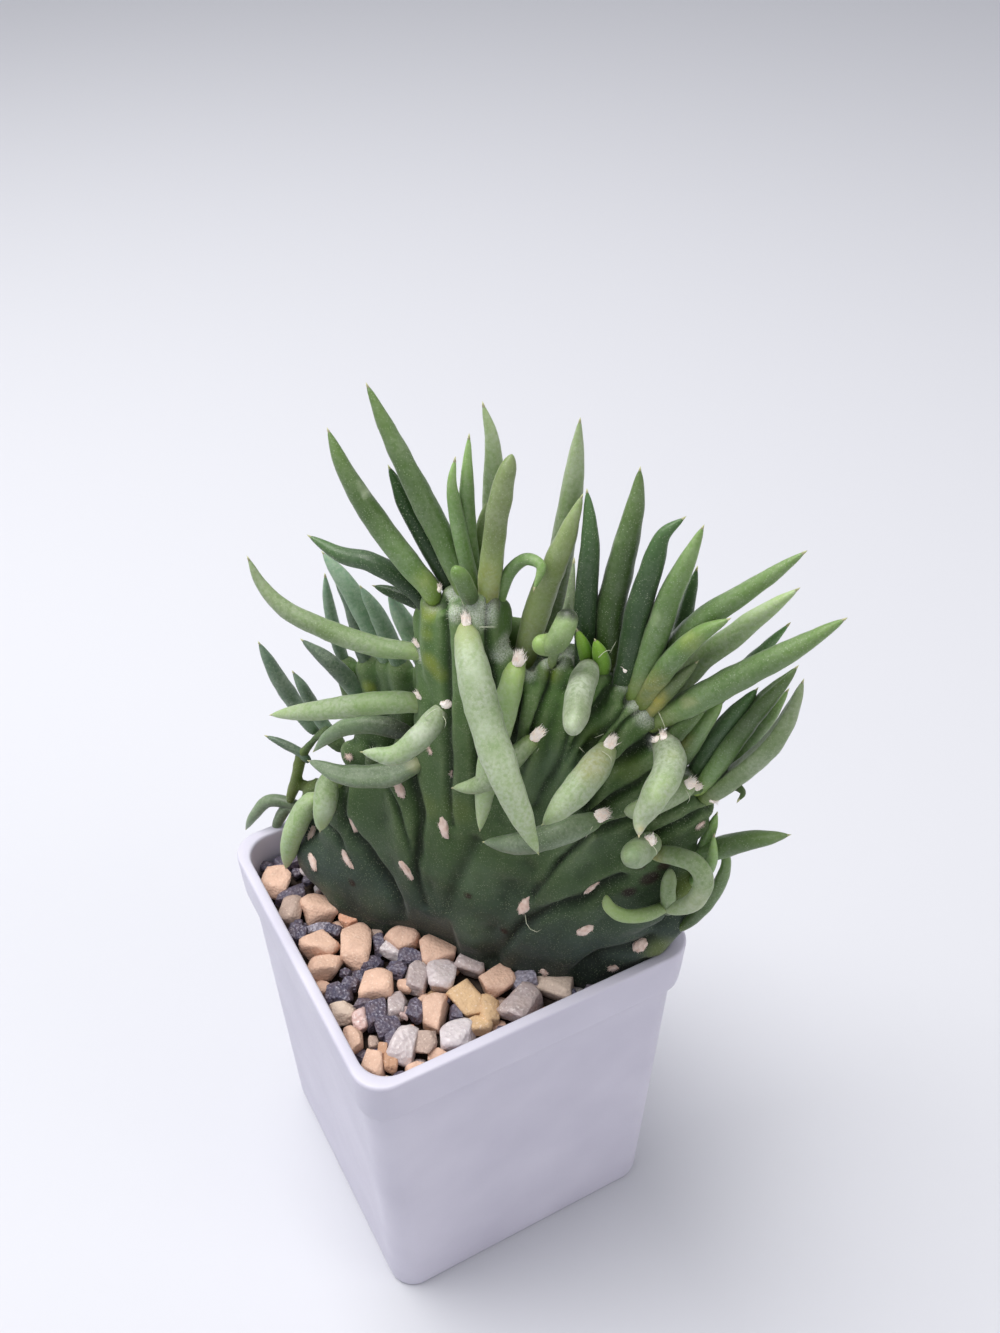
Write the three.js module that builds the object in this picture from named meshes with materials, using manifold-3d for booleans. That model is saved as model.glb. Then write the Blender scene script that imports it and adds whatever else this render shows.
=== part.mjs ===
// A crested needle cactus in a small square plastic pot, topped with mixed gravel.
//
// The growing tip of this cactus has turned from a point into a line, so its stem is a fan of
// finger-like tubercles that run up from one foot, each ending in a knob with a spot of wool.
// The young knobs along the crest, and some on both faces, carry long needle-shaped leaves.
// Stem and leaves grew as one plant, so they are one solid. Gravel, soil and pot are the others.
// Millimetres, +Z up, origin in the middle of the pot's underside, pot sides along X and Y.

import * as THREE from 'three';
import { mergeVertices } from 'three/addons/utils/BufferGeometryUtils.js';
import Module from 'manifold-3d';

const wasm = await Module();
wasm.setup();

// Pot
const potHeight = 82;
const rimWidth = 70;
const baseWidth = 61.5;
const bandHeight = 10.8;
const bandStandsOut = 1.2;
const wall = 1.6;
const rimTopWidth = 2.3;
const floorThickness = 2;
const potCorner = 6.2;
const edgeRound = 0.9;
const drainHole = 5;
const drainHoleFromMiddle = 17;

// Filling
const gap = 0.3;
const soilTop = 70;
const gravelBedTop = 75;
const stoneLimit = 79.2;
const stoneMiddle = 75.8;
const stoneSpacing = 9;

// Stem foot: an oval that stands in plain holes in the gravel and the soil
const footLength = 58;
const footThickness = 22;
const footBottom = 56;
const footTop = 79;
const footMiddle = [3.8, -5.6];
const fanTurn = THREE.MathUtils.degToRad(-45.5);

// Tubercles: fingers that come out of the core part of the way up, each ending in a knob. Low
// fingers come out sooner. Knobs keep their distance, and leaves are rooted deep in them.
const fingerStart = 78;
const fingerThickness = 7.6;
const crestKnob = 4.8;
const faceKnob = 5.6;
const lowKnob = 6.6;
const knobSpacing = 4.8;
const fingerLeavesHigh = 0.5;
const fingerLeavesLow = 0.15;
const fingerLowBelow = 108;

const fanHalfLength = 60;
const rootSink = 3;

// Core of the fan: how much of the way to the crest it fills, and how thick it is low and high
const coreShare = 0.9;
const coreMiddle = [3, 103];
const coreHalfLow = 11;
const coreHalfHigh = 4.5;
const coreHighAt = 150;

// The photograph's viewpoint, worked out from the corners of the pot
const eye = new THREE.Vector3(-75.8, -161.7, 284.8);
const viewTurn = THREE.MathUtils.degToRad(-28.2);
const viewDown = THREE.MathUtils.degToRad(39.1);
const viewRoll = THREE.MathUtils.degToRad(-0.5);
const focalPixels = 1330;
const middlePixel = [500, 666.5];

// Directions of the fan: along it, and square to it towards the viewer
const along = new THREE.Vector3(Math.cos(fanTurn), Math.sin(fanTurn), 0);
const front = new THREE.Vector3(Math.sin(fanTurn), -Math.cos(fanTurn), 0);
const fanOrigin = new THREE.Vector3(footMiddle[0], footMiddle[1], 0);

// Leaves that the photograph shows: the width, then points along the leaf from root to tip. A point
// is a pixel across, a pixel down, and the millimetres it stands in front of the fan's middle plane.
const pointedLeaves = {
  crownOuter: [4.6, [430, 594, 1], [410, 565, 1], [376, 520, 0], [345, 470, -1], [328, 430, -3]],
  crownTallest: [4.5, [466, 596, 0], [443, 540, -1], [413, 480, -2], [388, 430, -4], [367, 385, -6]],
  crownDark: [3.7, [452, 588, -2], [432, 548, -2], [408, 508, -3], [389, 467, -4]],
  crownLow: [3.5, [425, 602, -1], [400, 578, -1], [370, 562, -1], [340, 554, -2], [309, 536, -3]],
  crownLowShort: [2.7, [424, 606, -2], [395, 593, -3], [374, 586, -3]],
  crownSlimBright: [2.7, [474, 594, 0], [465, 555, 0], [456, 512, -1], [452, 482, -1], [455, 459, -2]],
  crownSlimDark: [2.8, [478, 594, -2], [470, 550, -2], [467, 510, -3], [467, 475, -3], [469, 436, -5]],
  crownBehind: [3.6, [493, 590, -5], [493, 500, -7], [492, 440, -8], [483, 404, -9]],
  crownSliver: [2.6, [482, 590, -4], [482, 530, -5], [490, 497, -6]],
  crownHook: [2.3, [500, 597, -1], [511, 570, 0], [528, 559, 1], [541, 566, 2], [534, 590, 4]],
  middleBroad: [4.6, [525, 656, -2], [540, 600, -1], [562, 545, -1], [582, 496, -3]],
  middleTallest: [4.5, [548, 640, -5], [558, 570, -6], [571, 495, -7], [580, 420, -9]],
  middleDark: [4.3, [583, 660, 0], [584, 600, -1], [589, 540, -2], [587, 491, -4]],
  middleStraight: [4.8, [605, 662, -1], [611, 605, -2], [624, 550, -3], [636, 500, -5], [640, 469, -6]],
  middleBentTip: [4.4, [624, 675, 1], [638, 610, 0], [652, 565, -1], [663, 535, -2], [684, 518, -3]],
  middleRight: [4.4, [635, 690, 1], [654, 640, 1], [668, 600, 0], [687, 560, -1], [703, 527, -2]],
  middlePale: [3.2, [664, 690, -5], [682, 625, -6], [697, 568, -7]],
  middleCurlUp: [3.9, [553, 658, 3], [561, 636, 8], [566, 612, 9], [570, 588, 8]],
  budLeft: [2.6, [588, 664, 1], [584, 648, 3], [577, 630, 4]],
  budRight: [3.0, [602, 667, 1], [600, 655, 3], [595, 640, 4]],
  rightUpper: [4.1, [644, 696, -2], [672, 650, -1], [705, 618, 0], [750, 589, -1], [805, 552, -2]],
  rightPale: [4.2, [664, 702, -3], [700, 660, -4], [730, 638, -4], [760, 615, -5], [798, 589, -6]],
  rightYellow: [3.9, [646, 697, 2], [670, 662, 3], [700, 634, 3], [729, 619, 3]],
  rightBud: [2.9, [650, 709, 2], [672, 686, 3], [697, 662, 2]],
  rightLongest: [4.6, [656, 722, 1], [700, 697, 3], [750, 671, 3], [800, 645, 2], [845, 619, 1]],
  rightPeeping: [2.8, [690, 728, -4], [735, 678, -5], [765, 648, -5], [789, 624, -6]],
  rightShort: [3.3, [666, 742, 1], [685, 724, 3], [705, 709, 3]],
  rightTucked: [3.8, [678, 760, 0], [700, 728, 1], [722, 701, 1]],
  rightGreen: [4.2, [690, 780, -2], [722, 730, -1], [757, 689, -2]],
  rightDark: [4.4, [700, 784, 0], [730, 742, 0], [762, 703, -1], [785, 680, -1], [797, 667, -2]],
  rightDarkBehind: [3.6, [708, 790, -3], [745, 745, -4], [770, 715, -4], [788, 690, -5]],
  rightBowed: [4.2, [708, 794, 0], [745, 767, 1], [772, 742, 1], [790, 712, 0], [803, 681, -1]],
  rightHook: [1.9, [710, 797, -1], [735, 786, 0], [743, 793, 1], [738, 801, 2]],
  lowLevel: [4.3, [692, 856, -1], [745, 841, 1], [789, 835, 1]],
  lowPointed: [2.5, [694, 860, -1], [709, 834, -1], [717, 813, -1]],
  lowLong: [2.8, [680, 926, 0], [712, 896, 0], [726, 862, 0], [720, 840, 0]],
  lowUpright: [2.5, [694, 880, 1], [711, 862, 3], [714, 835, 2]],
  faceGiant: [5.8, [466, 622, 5], [471, 662, 11], [487, 725, 16], [508, 785, 21], [538, 853, 24]],
  faceBehindGiant: [4.4, [517, 666, 4], [503, 715, 9], [488, 770, 12], [480, 830, 14]],
  faceTucked: [3.9, [532, 740, 8], [505, 765, 12], [478, 785, 13], [453, 788, 13]],
  faceMiddle: [5.8, [607, 748, 7], [583, 782, 14], [560, 808, 18], [543, 824, 20]],
  faceLying: [5.0, [596, 818, 9], [560, 832, 15], [520, 843, 16], [484, 842, 15]],
  faceRight: [5.3, [664, 740, 3], [670, 765, 9], [655, 795, 15], [641, 820, 18], [639, 836, 20]],
  faceHorn: [4.6, [444, 706, 4], [420, 737, 11], [395, 755, 14], [362, 752, 15]],
  leftTop: [3.8, [422, 657, 0], [380, 647, 2], [330, 631, 3], [285, 609, 3], [262, 585, 2], [248, 558, 1]],
  leftMiddle: [4.2, [422, 705, 1], [380, 703, 4], [330, 709, 5], [271, 715, 4]],
  leftArched: [3.7, [412, 738, 0], [380, 725, 0], [350, 726, 1], [328, 737, 2], [314, 751, 3]],
  leftBoat: [4.4, [422, 762, 4], [385, 775, 7], [345, 775, 8], [309, 761, 7]],
  leftHanging: [4.6, [330, 782, 0], [325, 805, 4], [320, 831, 6]],
  leftLowest: [4.7, [314, 800, -2], [294, 830, 1], [286, 868, 2]],
  backLeftPale: [4.2, [386, 655, -7], [352, 592, -7], [323, 553, -8]],
  backLeftThin: [2.5, [342, 655, -10], [329, 605, -9], [325, 575, -9]],
  backLeftDark: [2.8, [364, 656, -8], [350, 606, -7], [336, 583, -7]],
  backLeftGrey: [3.4, [397, 658, -5], [376, 612, -5], [361, 587, -5]],
  backLeftBroad: [3.9, [424, 660, -4], [402, 618, -4], [389, 594, -4]],
  backLeftLow: [3.5, [366, 702, -7], [333, 665, -6], [302, 640, -6]],
  backLeftFar: [3.4, [308, 722, -11], [281, 682, -10], [259, 643, -10]],
  backLeftFarShort: [2.8, [322, 722, -10], [303, 688, -9], [293, 672, -9]],
  shootThin: [1.9, [299, 752, -8], [282, 743, -8], [266, 736, -8]],
  shootHook: [2.7, [292, 804, -8], [268, 801, -8], [254, 815, -7], [246, 829, -7]],
  shootEnd: [2.6, [290, 806, -8], [278, 821, -8], [275, 838, -8]],
};
const bluntLeaves = {
  crownBlunt: [4.3, [488, 598, 1], [491, 560, 1], [496, 520, 0], [503, 485, -2], [512, 454, -4]],
  crownStub: [3.6, [477, 604, 4], [468, 581, 6], [456, 567, 7]],
  middleCurlEnd: [3.5, [556, 652, 3], [546, 646, 9], [529, 635, 10]],
  lowCurl: [
    4.0, [650, 856, 3], [680, 856, 6], [702, 868, 7], [708, 886, 8], [697, 903, 9], [680, 912, 9],
    [665, 914, 9],
  ],
  lowRing: [3.2, [664, 902, 4], [650, 914, 8], [625, 916, 10], [606, 909, 10], [603, 893, 9]],
  lowStub: [3.3, [668, 908, 3], [668, 890, 5], [670, 869, 4]],
  faceBlunt: [5.7, [590, 664, 4], [581, 690, 13], [571, 732, 22]],
  faceRightBehind: [4.2, [686, 786, 2], [660, 800, 8], [640, 809, 10], [624, 812, 11]],
  faceNose: [5.9, [652, 838, 4], [641, 848, 14], [631, 857, 21]],
};

// Knobs that show in the photograph, as points like those of the leaves
const crestKnobs = [
  [432, 594, 1], [452, 585, 0], [470, 594, 0], [487, 598, 1], [501, 604, -1], [505, 648, 3],
  [520, 662, -3], [548, 661, 2], [566, 656, 1], [584, 660, 0], [602, 665, 0], [624, 675, 1],
  [636, 690, 2], [645, 701, 0], [655, 718, 2], [668, 738, 1], [680, 756, 0], [690, 770, 0],
  [700, 779, 1], [712, 795, 0], [706, 815, -1], [698, 836, -1], [694, 858, -1], [690, 884, -1],
  [682, 922, 0], [420, 656, 0], [420, 706, 1], [408, 732, 0], [372, 748, -1], [330, 780, -1],
  [312, 802, -2], [302, 832, -2],
];
const faceKnobs = [
  [466, 622, 5], [451, 604, 4], [481, 609, 4], [517, 667, 4], [534, 690, 5], [532, 740, 8],
  [590, 664, 4], [607, 748, 7], [628, 704, 4], [657, 744, 4], [596, 818, 9], [664, 741, 3],
  [686, 786, 2], [652, 839, 4], [444, 707, 4], [424, 762, 4],
];
const lowKnobs = [
  [398, 790, 7], [352, 824, 3], [444, 832, 9], [405, 876, 8], [346, 860, 3], [316, 860, 1],
  [312, 834, -1], [342, 882, 2], [470, 900, 10], [524, 910, 10], [590, 892, 9], [584, 932, 8],
  [640, 945, 4], [664, 930, 2], [560, 868, 10],
];
const backLeftKnobs = [
  [386, 658, -8], [364, 658, -9], [342, 658, -11], [366, 702, -8], [322, 724, -11],
  [308, 724, -12], [350, 750, -5],
];
const sideShoot = [[340, 760, -9], [318, 728, -9], [301, 765, -8], [290, 806, -8]];
const sideShootThickness = 4.6;

// Rules for the far face, which the photograph doesn't show: how far behind the crest and below
// it each row of knobs lies, how many of its knobs carry a leaf, and how long those are
const farRows = [
  { behind: 5, below: 4, spacing: 13, leafShare: 0.7, leafLength: [26, 34], knob: crestKnob },
  { behind: 9, below: 18, spacing: 16, leafShare: 0.8, leafLength: [24, 36], knob: faceKnob },
  { behind: 11, below: 34, spacing: 26, leafShare: 0.3, leafLength: [18, 26], knob: lowKnob },
];
const farSeed = 4417;
const hiddenMargin = 4;

// Small number generator with a fixed seed, so every build is the same
function makeRandom(seed) {
  let state = seed;
  return () => {
    state = (state * 16807) % 2147483647;
    return state / 2147483647;
  };
}

// The direction in which a pixel looks, not yet of unit length
function lookThrough(across, down) {
  const backward = new THREE.Vector3(
    Math.sin(viewTurn) * Math.cos(viewDown),
    -Math.cos(viewTurn) * Math.cos(viewDown),
    Math.sin(viewDown),
  );
  const level = new THREE.Vector3(Math.cos(viewTurn), Math.sin(viewTurn), 0);
  const steep = new THREE.Vector3().crossVectors(backward, level);
  const right = level.clone().multiplyScalar(Math.cos(viewRoll)).addScaledVector(steep, Math.sin(viewRoll));
  const up = steep.clone().multiplyScalar(Math.cos(viewRoll)).addScaledVector(level, -Math.sin(viewRoll));
  return backward.multiplyScalar(-focalPixels)
    .addScaledVector(right, across - middlePixel[0])
    .addScaledVector(up, middlePixel[1] - down);
}

// The point seen at a pixel, at a given distance in front of the fan's middle plane
function seenAt([across, down, inFront]) {
  const ray = lookThrough(across, down);
  const reach = (fanOrigin.dot(front) + inFront - eye.dot(front)) / ray.dot(front);
  return eye.clone().addScaledVector(ray, reach);
}

// The point seen at a pixel, at a given height
function seenAtHeight(across, down, height) {
  const ray = lookThrough(across, down);
  return eye.clone().addScaledVector(ray, (height - eye.z) / ray.z);
}

// A point in the fan's own directions: along it, in front of its middle plane, and up
function inFan(alongFan, inFront, height) {
  return fanOrigin.clone().setZ(height).addScaledVector(along, alongFan).addScaledVector(front, inFront);
}

function fanPosition(point) {
  const flat = point.clone().sub(fanOrigin);
  return { alongFan: flat.dot(along), inFront: flat.dot(front), height: point.z };
}

function toSolid(geometry) {
  const bare = geometry.clone();
  bare.deleteAttribute('normal');
  bare.deleteAttribute('uv');
  const merged = mergeVertices(bare, 1e-5);
  return new wasm.Manifold(new wasm.Mesh({
    numProp: 3,
    vertProperties: new Float32Array(merged.attributes.position.array),
    triVerts: new Uint32Array(merged.index.array),
  }));
}

function toGeometry(solid) {
  const mesh = solid.getMesh();
  const geometry = new THREE.BufferGeometry();
  geometry.setAttribute('position', new THREE.BufferAttribute(mesh.vertProperties, 3));
  geometry.setIndex(new THREE.BufferAttribute(mesh.triVerts, 1));
  geometry.computeVertexNormals();
  return geometry;
}

// Joins many solids two by two, which keeps the joins small for as long as possible
function joinAll(solids) {
  let round = solids;
  while (round.length > 1) {
    const next = [];
    for (let i = 0; i + 1 < round.length; i += 2) {
      next.push(round[i].add(round[i + 1]));
    }
    if (round.length % 2 === 1) {
      next.push(round[round.length - 1]);
    }
    round = next;
  }
  return round[0];
}

// The largest joined piece, without loose scraps and without sealed hollows
function mainBody(solid) {
  const pieces = solid.decompose();
  return pieces.reduce((best, piece) => (piece.volume() > best.volume() ? piece : best));
}

// A closed round limb: a sphere drawn out along a curve. Stations are [share of the curve, radius].
function limb(curve, stations, sides) {
  const geometry = new THREE.SphereGeometry(1, sides, stations.length - 1);
  let sideways = new THREE.Vector3(0.31, 0.17, 0.93);
  const places = stations.map(([share, radius]) => {
    const tangent = curve.getTangentAt(share);
    sideways = sideways.clone().addScaledVector(tangent, -sideways.dot(tangent)).normalize();
    const other = new THREE.Vector3().crossVectors(tangent, sideways);
    return { centre: curve.getPointAt(share), radius, sideways, other };
  });
  const position = geometry.attributes.position;
  for (let i = 0; i < position.count; i += 1) {
    const { centre, radius, sideways: across, other } = places[Math.floor(i / (sides + 1))];
    const flat = new THREE.Vector2(position.getX(i), position.getZ(i));
    flat.normalize().multiplyScalar(radius);
    const point = centre.clone().addScaledVector(across, flat.x).addScaledVector(other, flat.y);
    position.setXYZ(i, point.x, point.y, point.z);
  }
  return toSolid(geometry);
}

// How thick a leaf is along its length, as a share of its full width
function leafProfile(share, blunt) {
  const fullest = 0.35;
  if (share < fullest) {
    return 0.8 + 0.2 * Math.sin((Math.PI / 2) * (share / fullest));
  }
  const beyond = (share - fullest) / (1 - fullest);
  return blunt ? (1 - beyond ** 6) ** 0.6 : (1 - beyond ** 2.4) ** 0.9;
}

// A needle leaf whose root is sunk into the knob that it grows from
function leaf(points, width, blunt, knob) {
  const inwards = inFan(0, 0, fingerStart).sub(knob).setLength(rootSink);
  const curve = new THREE.CatmullRomCurve3([knob.clone().add(inwards), ...points], false, 'centripetal');
  const bands = points.length > 5 ? 6 : 4;
  const stations = [[0, 0], [0.04, width * 0.36]];
  for (let i = 1; i < bands; i += 1) {
    const share = 0.04 + (0.96 * i) / bands + (blunt && i === bands - 1 ? 0.1 : 0);
    stations.push([share, (width / 2) * leafProfile(share, blunt)]);
  }
  stations.push([1, 0]);
  return limb(curve, stations, width < 4 ? 4 : 5);
}

// Half the core's thickness at a height
function coreHalfAt(height) {
  const rise = THREE.MathUtils.clamp((height - fingerStart) / (coreHighAt - fingerStart), 0, 1);
  return coreHalfLow + (coreHalfHigh - coreHalfLow) * rise;
}

// A finger that comes out of the core and ends in a knob
function finger(knob, knobThickness) {
  const { alongFan, inFront, height } = fanPosition(knob);
  const half = fingerThickness / 2;
  const knobHalf = knobThickness / 2;
  const side = inFront < -2 ? -1 : 1;
  const leavesCoreAt = height > fingerLowBelow ? fingerLeavesHigh : fingerLeavesLow;
  const startHeight = fingerStart + (height - fingerStart) * leavesCoreAt;
  const startAlong = alongFan * (0.5 + 0.5 * leavesCoreAt);
  const thinning = Math.sqrt(1 - Math.min(0.9, Math.abs(alongFan) / fanHalfLength));
  const startDepth = side * (coreHalfAt(startHeight) - half) * thinning;
  const bendHeight = Math.max(startHeight + (height - startHeight) * 0.55, stoneLimit + half + 0.5);
  const curve = new THREE.CatmullRomCurve3([
    inFan(startAlong, startDepth, startHeight),
    inFan(startAlong + (alongFan - startAlong) * 0.5, startDepth * 0.4 + inFront * 0.6, bendHeight),
    knob,
  ], false, 'centripetal');
  const length = curve.getLength();
  const stations = [
    [0, 0],
    [0.3 * half / length, half * 0.8],
    [1 - (1.3 * knobHalf) / length, knobHalf],
    [1 - (0.35 * knobHalf) / length, knobHalf * 0.72],
    [1, 0],
  ];
  return limb(curve, stations, inFront < -4 ? 4 : 5);
}

// How far it is from the core's middle to a closed outline, in one direction of the fan's plane
function reachOutline(outline, direction) {
  let reach = 0;
  for (let i = 0; i < outline.length; i += 1) {
    const start = outline[i];
    const side = outline[(i + 1) % outline.length].clone().sub(start);
    const turned = direction.cross(side);
    const reached = start.cross(side) / turned;
    const share = start.cross(direction) / turned;
    if (reached > 0 && share >= 0 && share <= 1) {
      reach = Math.max(reach, reached);
    }
  }
  return reach;
}

// The core that joins the fingers: a ball drawn out to the fan's outline, thick low, thin high
function fanCore() {
  const middle = new THREE.Vector2(...coreMiddle);
  const edge = crestLine().getSpacedPoints(40).map((point) => {
    const { alongFan, height } = fanPosition(point);
    return new THREE.Vector2(alongFan, height);
  });
  const foot = [[footLength * 0.42, fingerStart - 2], [-footLength * 0.42, fingerStart - 2]];
  const outline = [...edge, ...foot.map(([x, y]) => new THREE.Vector2(x, y))]
    .map((corner) => corner.sub(middle));
  const geometry = new THREE.SphereGeometry(1, 20, 8);
  geometry.rotateX(Math.PI / 2);
  const position = geometry.attributes.position;
  for (let i = 0; i < position.count; i += 1) {
    const flat = new THREE.Vector2(position.getX(i), position.getY(i));
    const share = flat.length();
    const direction = share > 1e-6 ? flat.clone().divideScalar(share) : new THREE.Vector2(0, 1);
    const reach = share * coreShare * reachOutline(outline, direction);
    const spread = direction.multiplyScalar(reach).add(middle);
    const point = inFan(spread.x, position.getZ(i) * coreHalfAt(spread.y), spread.y);
    position.setXYZ(i, point.x, point.y, point.z);
  }
  return toSolid(geometry);
}

// The crest's line, through every knob along it that sits nearest the edge
function crestLine() {
  const outline = [[302, 832, -2], [312, 802, -2], [330, 780, -1], [372, 748, -1], [408, 732, 0],
    [420, 706, 1], [420, 656, 0], [432, 594, 1], [470, 594, 0], [501, 604, -1], [520, 662, -3],
    [566, 656, 1], [602, 665, 0], [645, 701, 0], [680, 756, 0], [712, 795, 0], [706, 815, -1],
    [690, 884, -1]];
  return new THREE.CatmullRomCurve3(outline.map(seenAt), false, 'centripetal');
}

// Angle and distance of a point of the fan from the middle of its foot
function fromFoot({ alongFan, height }) {
  const rise = height - fingerStart;
  return { angle: Math.atan2(rise, alongFan), distance: Math.hypot(alongFan, rise) };
}

// Whether the crest hides a point from the photograph's viewpoint
function isHidden(point, crest) {
  const ray = point.clone().sub(eye);
  const reach = (fanOrigin.dot(front) - eye.dot(front)) / ray.dot(front);
  const seen = fromFoot(fanPosition(eye.clone().addScaledVector(ray, reach)));
  const nearest = crest.reduce((best, edge) => (
    Math.abs(edge.angle - seen.angle) < Math.abs(best.angle - seen.angle) ? edge : best));
  return seen.distance < nearest.distance - hiddenMargin;
}

// Knobs and leaves of the far face, in rows that follow the crest
function farFace() {
  const line = crestLine();
  const crest = line.getSpacedPoints(80).map((point) => fromFoot(fanPosition(point)));
  const random = makeRandom(farSeed);
  const knobs = [];
  for (const row of farRows) {
    const count = Math.floor(line.getLength() / row.spacing);
    for (let i = 0; i < count; i += 1) {
      const share = (i + 0.5 + (random() - 0.5) * 0.5) / count;
      const edge = fanPosition(line.getPointAt(share));
      const rise = edge.height - fingerStart;
      const inwards = Math.max(0.45, 1 - row.below / (rise + 20));
      const alongFan = edge.alongFan * inwards + (random() - 0.5) * 2;
      const height = Math.max(stoneLimit + 6, edge.height - row.below * Math.min(1, rise / 50));
      const point = inFan(alongFan, edge.inFront - row.behind, height);
      const path = farLeaf(point, row, crest, random);
      const width = 3.6 + random() * 1.2;
      const bearsLeaf = random() < row.leafShare;
      knobs.push({ point, thickness: row.knob, width, path: bearsLeaf ? path : null });
    }
  }
  return knobs;
}

// A far leaf leans outwards and backwards. It hangs more and more until the crest hides it.
function farLeaf(knob, row, crest, random) {
  const [shortest, longest] = row.leafLength;
  let length = shortest + (longest - shortest) * random();
  let droop = 0.1 + random() * 0.4;
  const outward = knob.clone().sub(inFan(0, 0, fingerStart)).normalize();
  const lean = 0.7 + random() * 0.5;
  for (let tries = 0; tries < 10; tries += 1) {
    const direction = outward.clone().addScaledVector(front, -lean);
    direction.z -= droop;
    direction.normalize();
    const bend = knob.clone().addScaledVector(direction, length * 0.5);
    const tip = knob.clone().addScaledVector(direction, length);
    bend.z += length * 0.06;
    tip.z -= length * 0.06;
    if (tip.z > potHeight + 4 && isHidden(tip, crest) && isHidden(bend, crest)) {
      return [knob, bend, tip];
    }
    droop += 0.16;
    length *= 0.96;
  }
  return null;
}

// The oval of the stem's foot, grown all round by a clearance
function footPrism(clearance, bottom, top) {
  const oval = new THREE.Shape();
  oval.absellipse(0, 0, footLength / 2 + clearance, footThickness / 2 + clearance, 0, 2 * Math.PI);
  const geometry = new THREE.ExtrudeGeometry(oval, {
    depth: top - bottom, bevelEnabled: false, curveSegments: 12,
  });
  geometry.rotateZ(fanTurn);
  geometry.translate(fanOrigin.x, fanOrigin.y, bottom);
  return toSolid(geometry);
}

// The room that gravel and rim take up with the gap round them, all but the stem's own hole
function neighbours() {
  const gravelRoom = squareLoft([
    [insideHalf(soilTop), soilTop - 1],
    [insideHalf(soilTop), stoneLimit + gap],
  ]);
  const outer = squareLoft([[rimWidth / 2 + gap, soilTop], [rimWidth / 2 + gap, potHeight + gap]]);
  const inner = squareLoft([
    [insideHalf(potHeight) - gap, soilTop - 1],
    [insideHalf(potHeight) - gap, potHeight + 1],
  ]);
  return gravelRoom.add(outer.subtract(inner)).subtract(footPrism(0, soilTop - 2, potHeight + 2));
}

// The whole plant. A knob is left out where it would lie on one that is already there.
function buildPlant() {
  const limbs = [footPrism(0, footBottom, footTop), fanCore()];
  const knobPlaces = [];
  const knobAt = (place, thickness) => {
    const taken = knobPlaces.find((other) => other.distanceTo(place) < knobSpacing);
    if (taken) {
      return taken;
    }
    knobPlaces.push(place);
    limbs.push(finger(place, thickness));
    return place;
  };
  for (const [leaves, blunt] of [[pointedLeaves, false], [bluntLeaves, true]]) {
    for (const [width, ...points] of Object.values(leaves)) {
      const knob = knobAt(seenAt(points[0]), width > 5 ? faceKnob : crestKnob);
      limbs.push(leaf(points.map(seenAt), width, blunt, knob));
    }
  }
  const groups = [
    [lowKnobs, lowKnob], [faceKnobs, faceKnob], [crestKnobs, crestKnob], [backLeftKnobs, crestKnob],
  ];
  for (const [knobs, thickness] of groups) {
    knobs.forEach((knob) => knobAt(seenAt(knob), thickness));
  }
  for (const { point, thickness, path, width } of farFace()) {
    const knob = knobAt(point, thickness);
    if (path && knob === point) {
      limbs.push(leaf(path, width, false, knob));
    }
  }
  const half = sideShootThickness / 2;
  const shootCurve = new THREE.CatmullRomCurve3(sideShoot.map(seenAt), false, 'centripetal');
  limbs.push(limb(shootCurve, [[0, 0], [0.06, half], [0.5, half], [0.94, half * 0.7], [1, 0]], 5));
  return mainBody(joinAll(limbs).subtract(neighbours()));
}

// A rounded square pulled up through levels of [half width, height]
function squareLoft(levels) {
  const corner = potCorner / (rimWidth / 2);
  const straight = 1 - corner;
  const shape = new THREE.Shape();
  shape.moveTo(straight, -1);
  shape.absarc(straight, -straight, corner, -Math.PI / 2, 0);
  shape.absarc(straight, straight, corner, 0, Math.PI / 2);
  shape.absarc(-straight, straight, corner, Math.PI / 2, Math.PI);
  shape.absarc(-straight, -straight, corner, Math.PI, Math.PI * 1.5);
  const steps = levels.length - 1;
  const geometry = new THREE.ExtrudeGeometry(shape, {
    depth: steps, steps, bevelEnabled: false, curveSegments: 4,
  });
  const position = geometry.attributes.position;
  for (let i = 0; i < position.count; i += 1) {
    const [half, height] = levels[Math.round(position.getZ(i))];
    position.setXYZ(i, position.getX(i) * half, position.getY(i) * half, height);
  }
  return toSolid(geometry);
}

// Half the width inside the pot at a height
function insideHalf(height) {
  const top = rimWidth / 2 - rimTopWidth;
  const bottom = baseWidth / 2 - wall;
  return bottom + (top - bottom) * (height / potHeight);
}

function buildPot() {
  const rimHalf = rimWidth / 2;
  const baseHalf = baseWidth / 2;
  const bandBottom = potHeight - bandHeight;
  const outside = squareLoft([
    [baseHalf - edgeRound, 0],
    [baseHalf - edgeRound * 0.3, edgeRound * 0.3],
    [baseHalf, edgeRound],
    [rimHalf - bandStandsOut - 0.3, bandBottom - 0.8],
    [rimHalf - 0.4, bandBottom],
    [rimHalf, potHeight - edgeRound],
    [rimHalf - edgeRound * 0.3, potHeight - edgeRound * 0.3],
    [rimHalf - edgeRound, potHeight],
  ]);
  const inside = squareLoft([
    [insideHalf(floorThickness), floorThickness],
    [insideHalf(potHeight - 0.6), potHeight - 0.6],
    [insideHalf(potHeight) + 0.6, potHeight + 0.1],
  ]);
  let pot = outside.subtract(inside);
  for (const [x, y] of [[1, 1], [1, -1], [-1, -1], [-1, 1]]) {
    const hole = new THREE.CylinderGeometry(drainHole / 2, drainHole / 2, floorThickness * 3, 12);
    hole.rotateX(Math.PI / 2);
    hole.translate(x * drainHoleFromMiddle, y * drainHoleFromMiddle, floorThickness / 2);
    pot = pot.subtract(toSolid(hole));
  }
  return pot;
}

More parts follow.
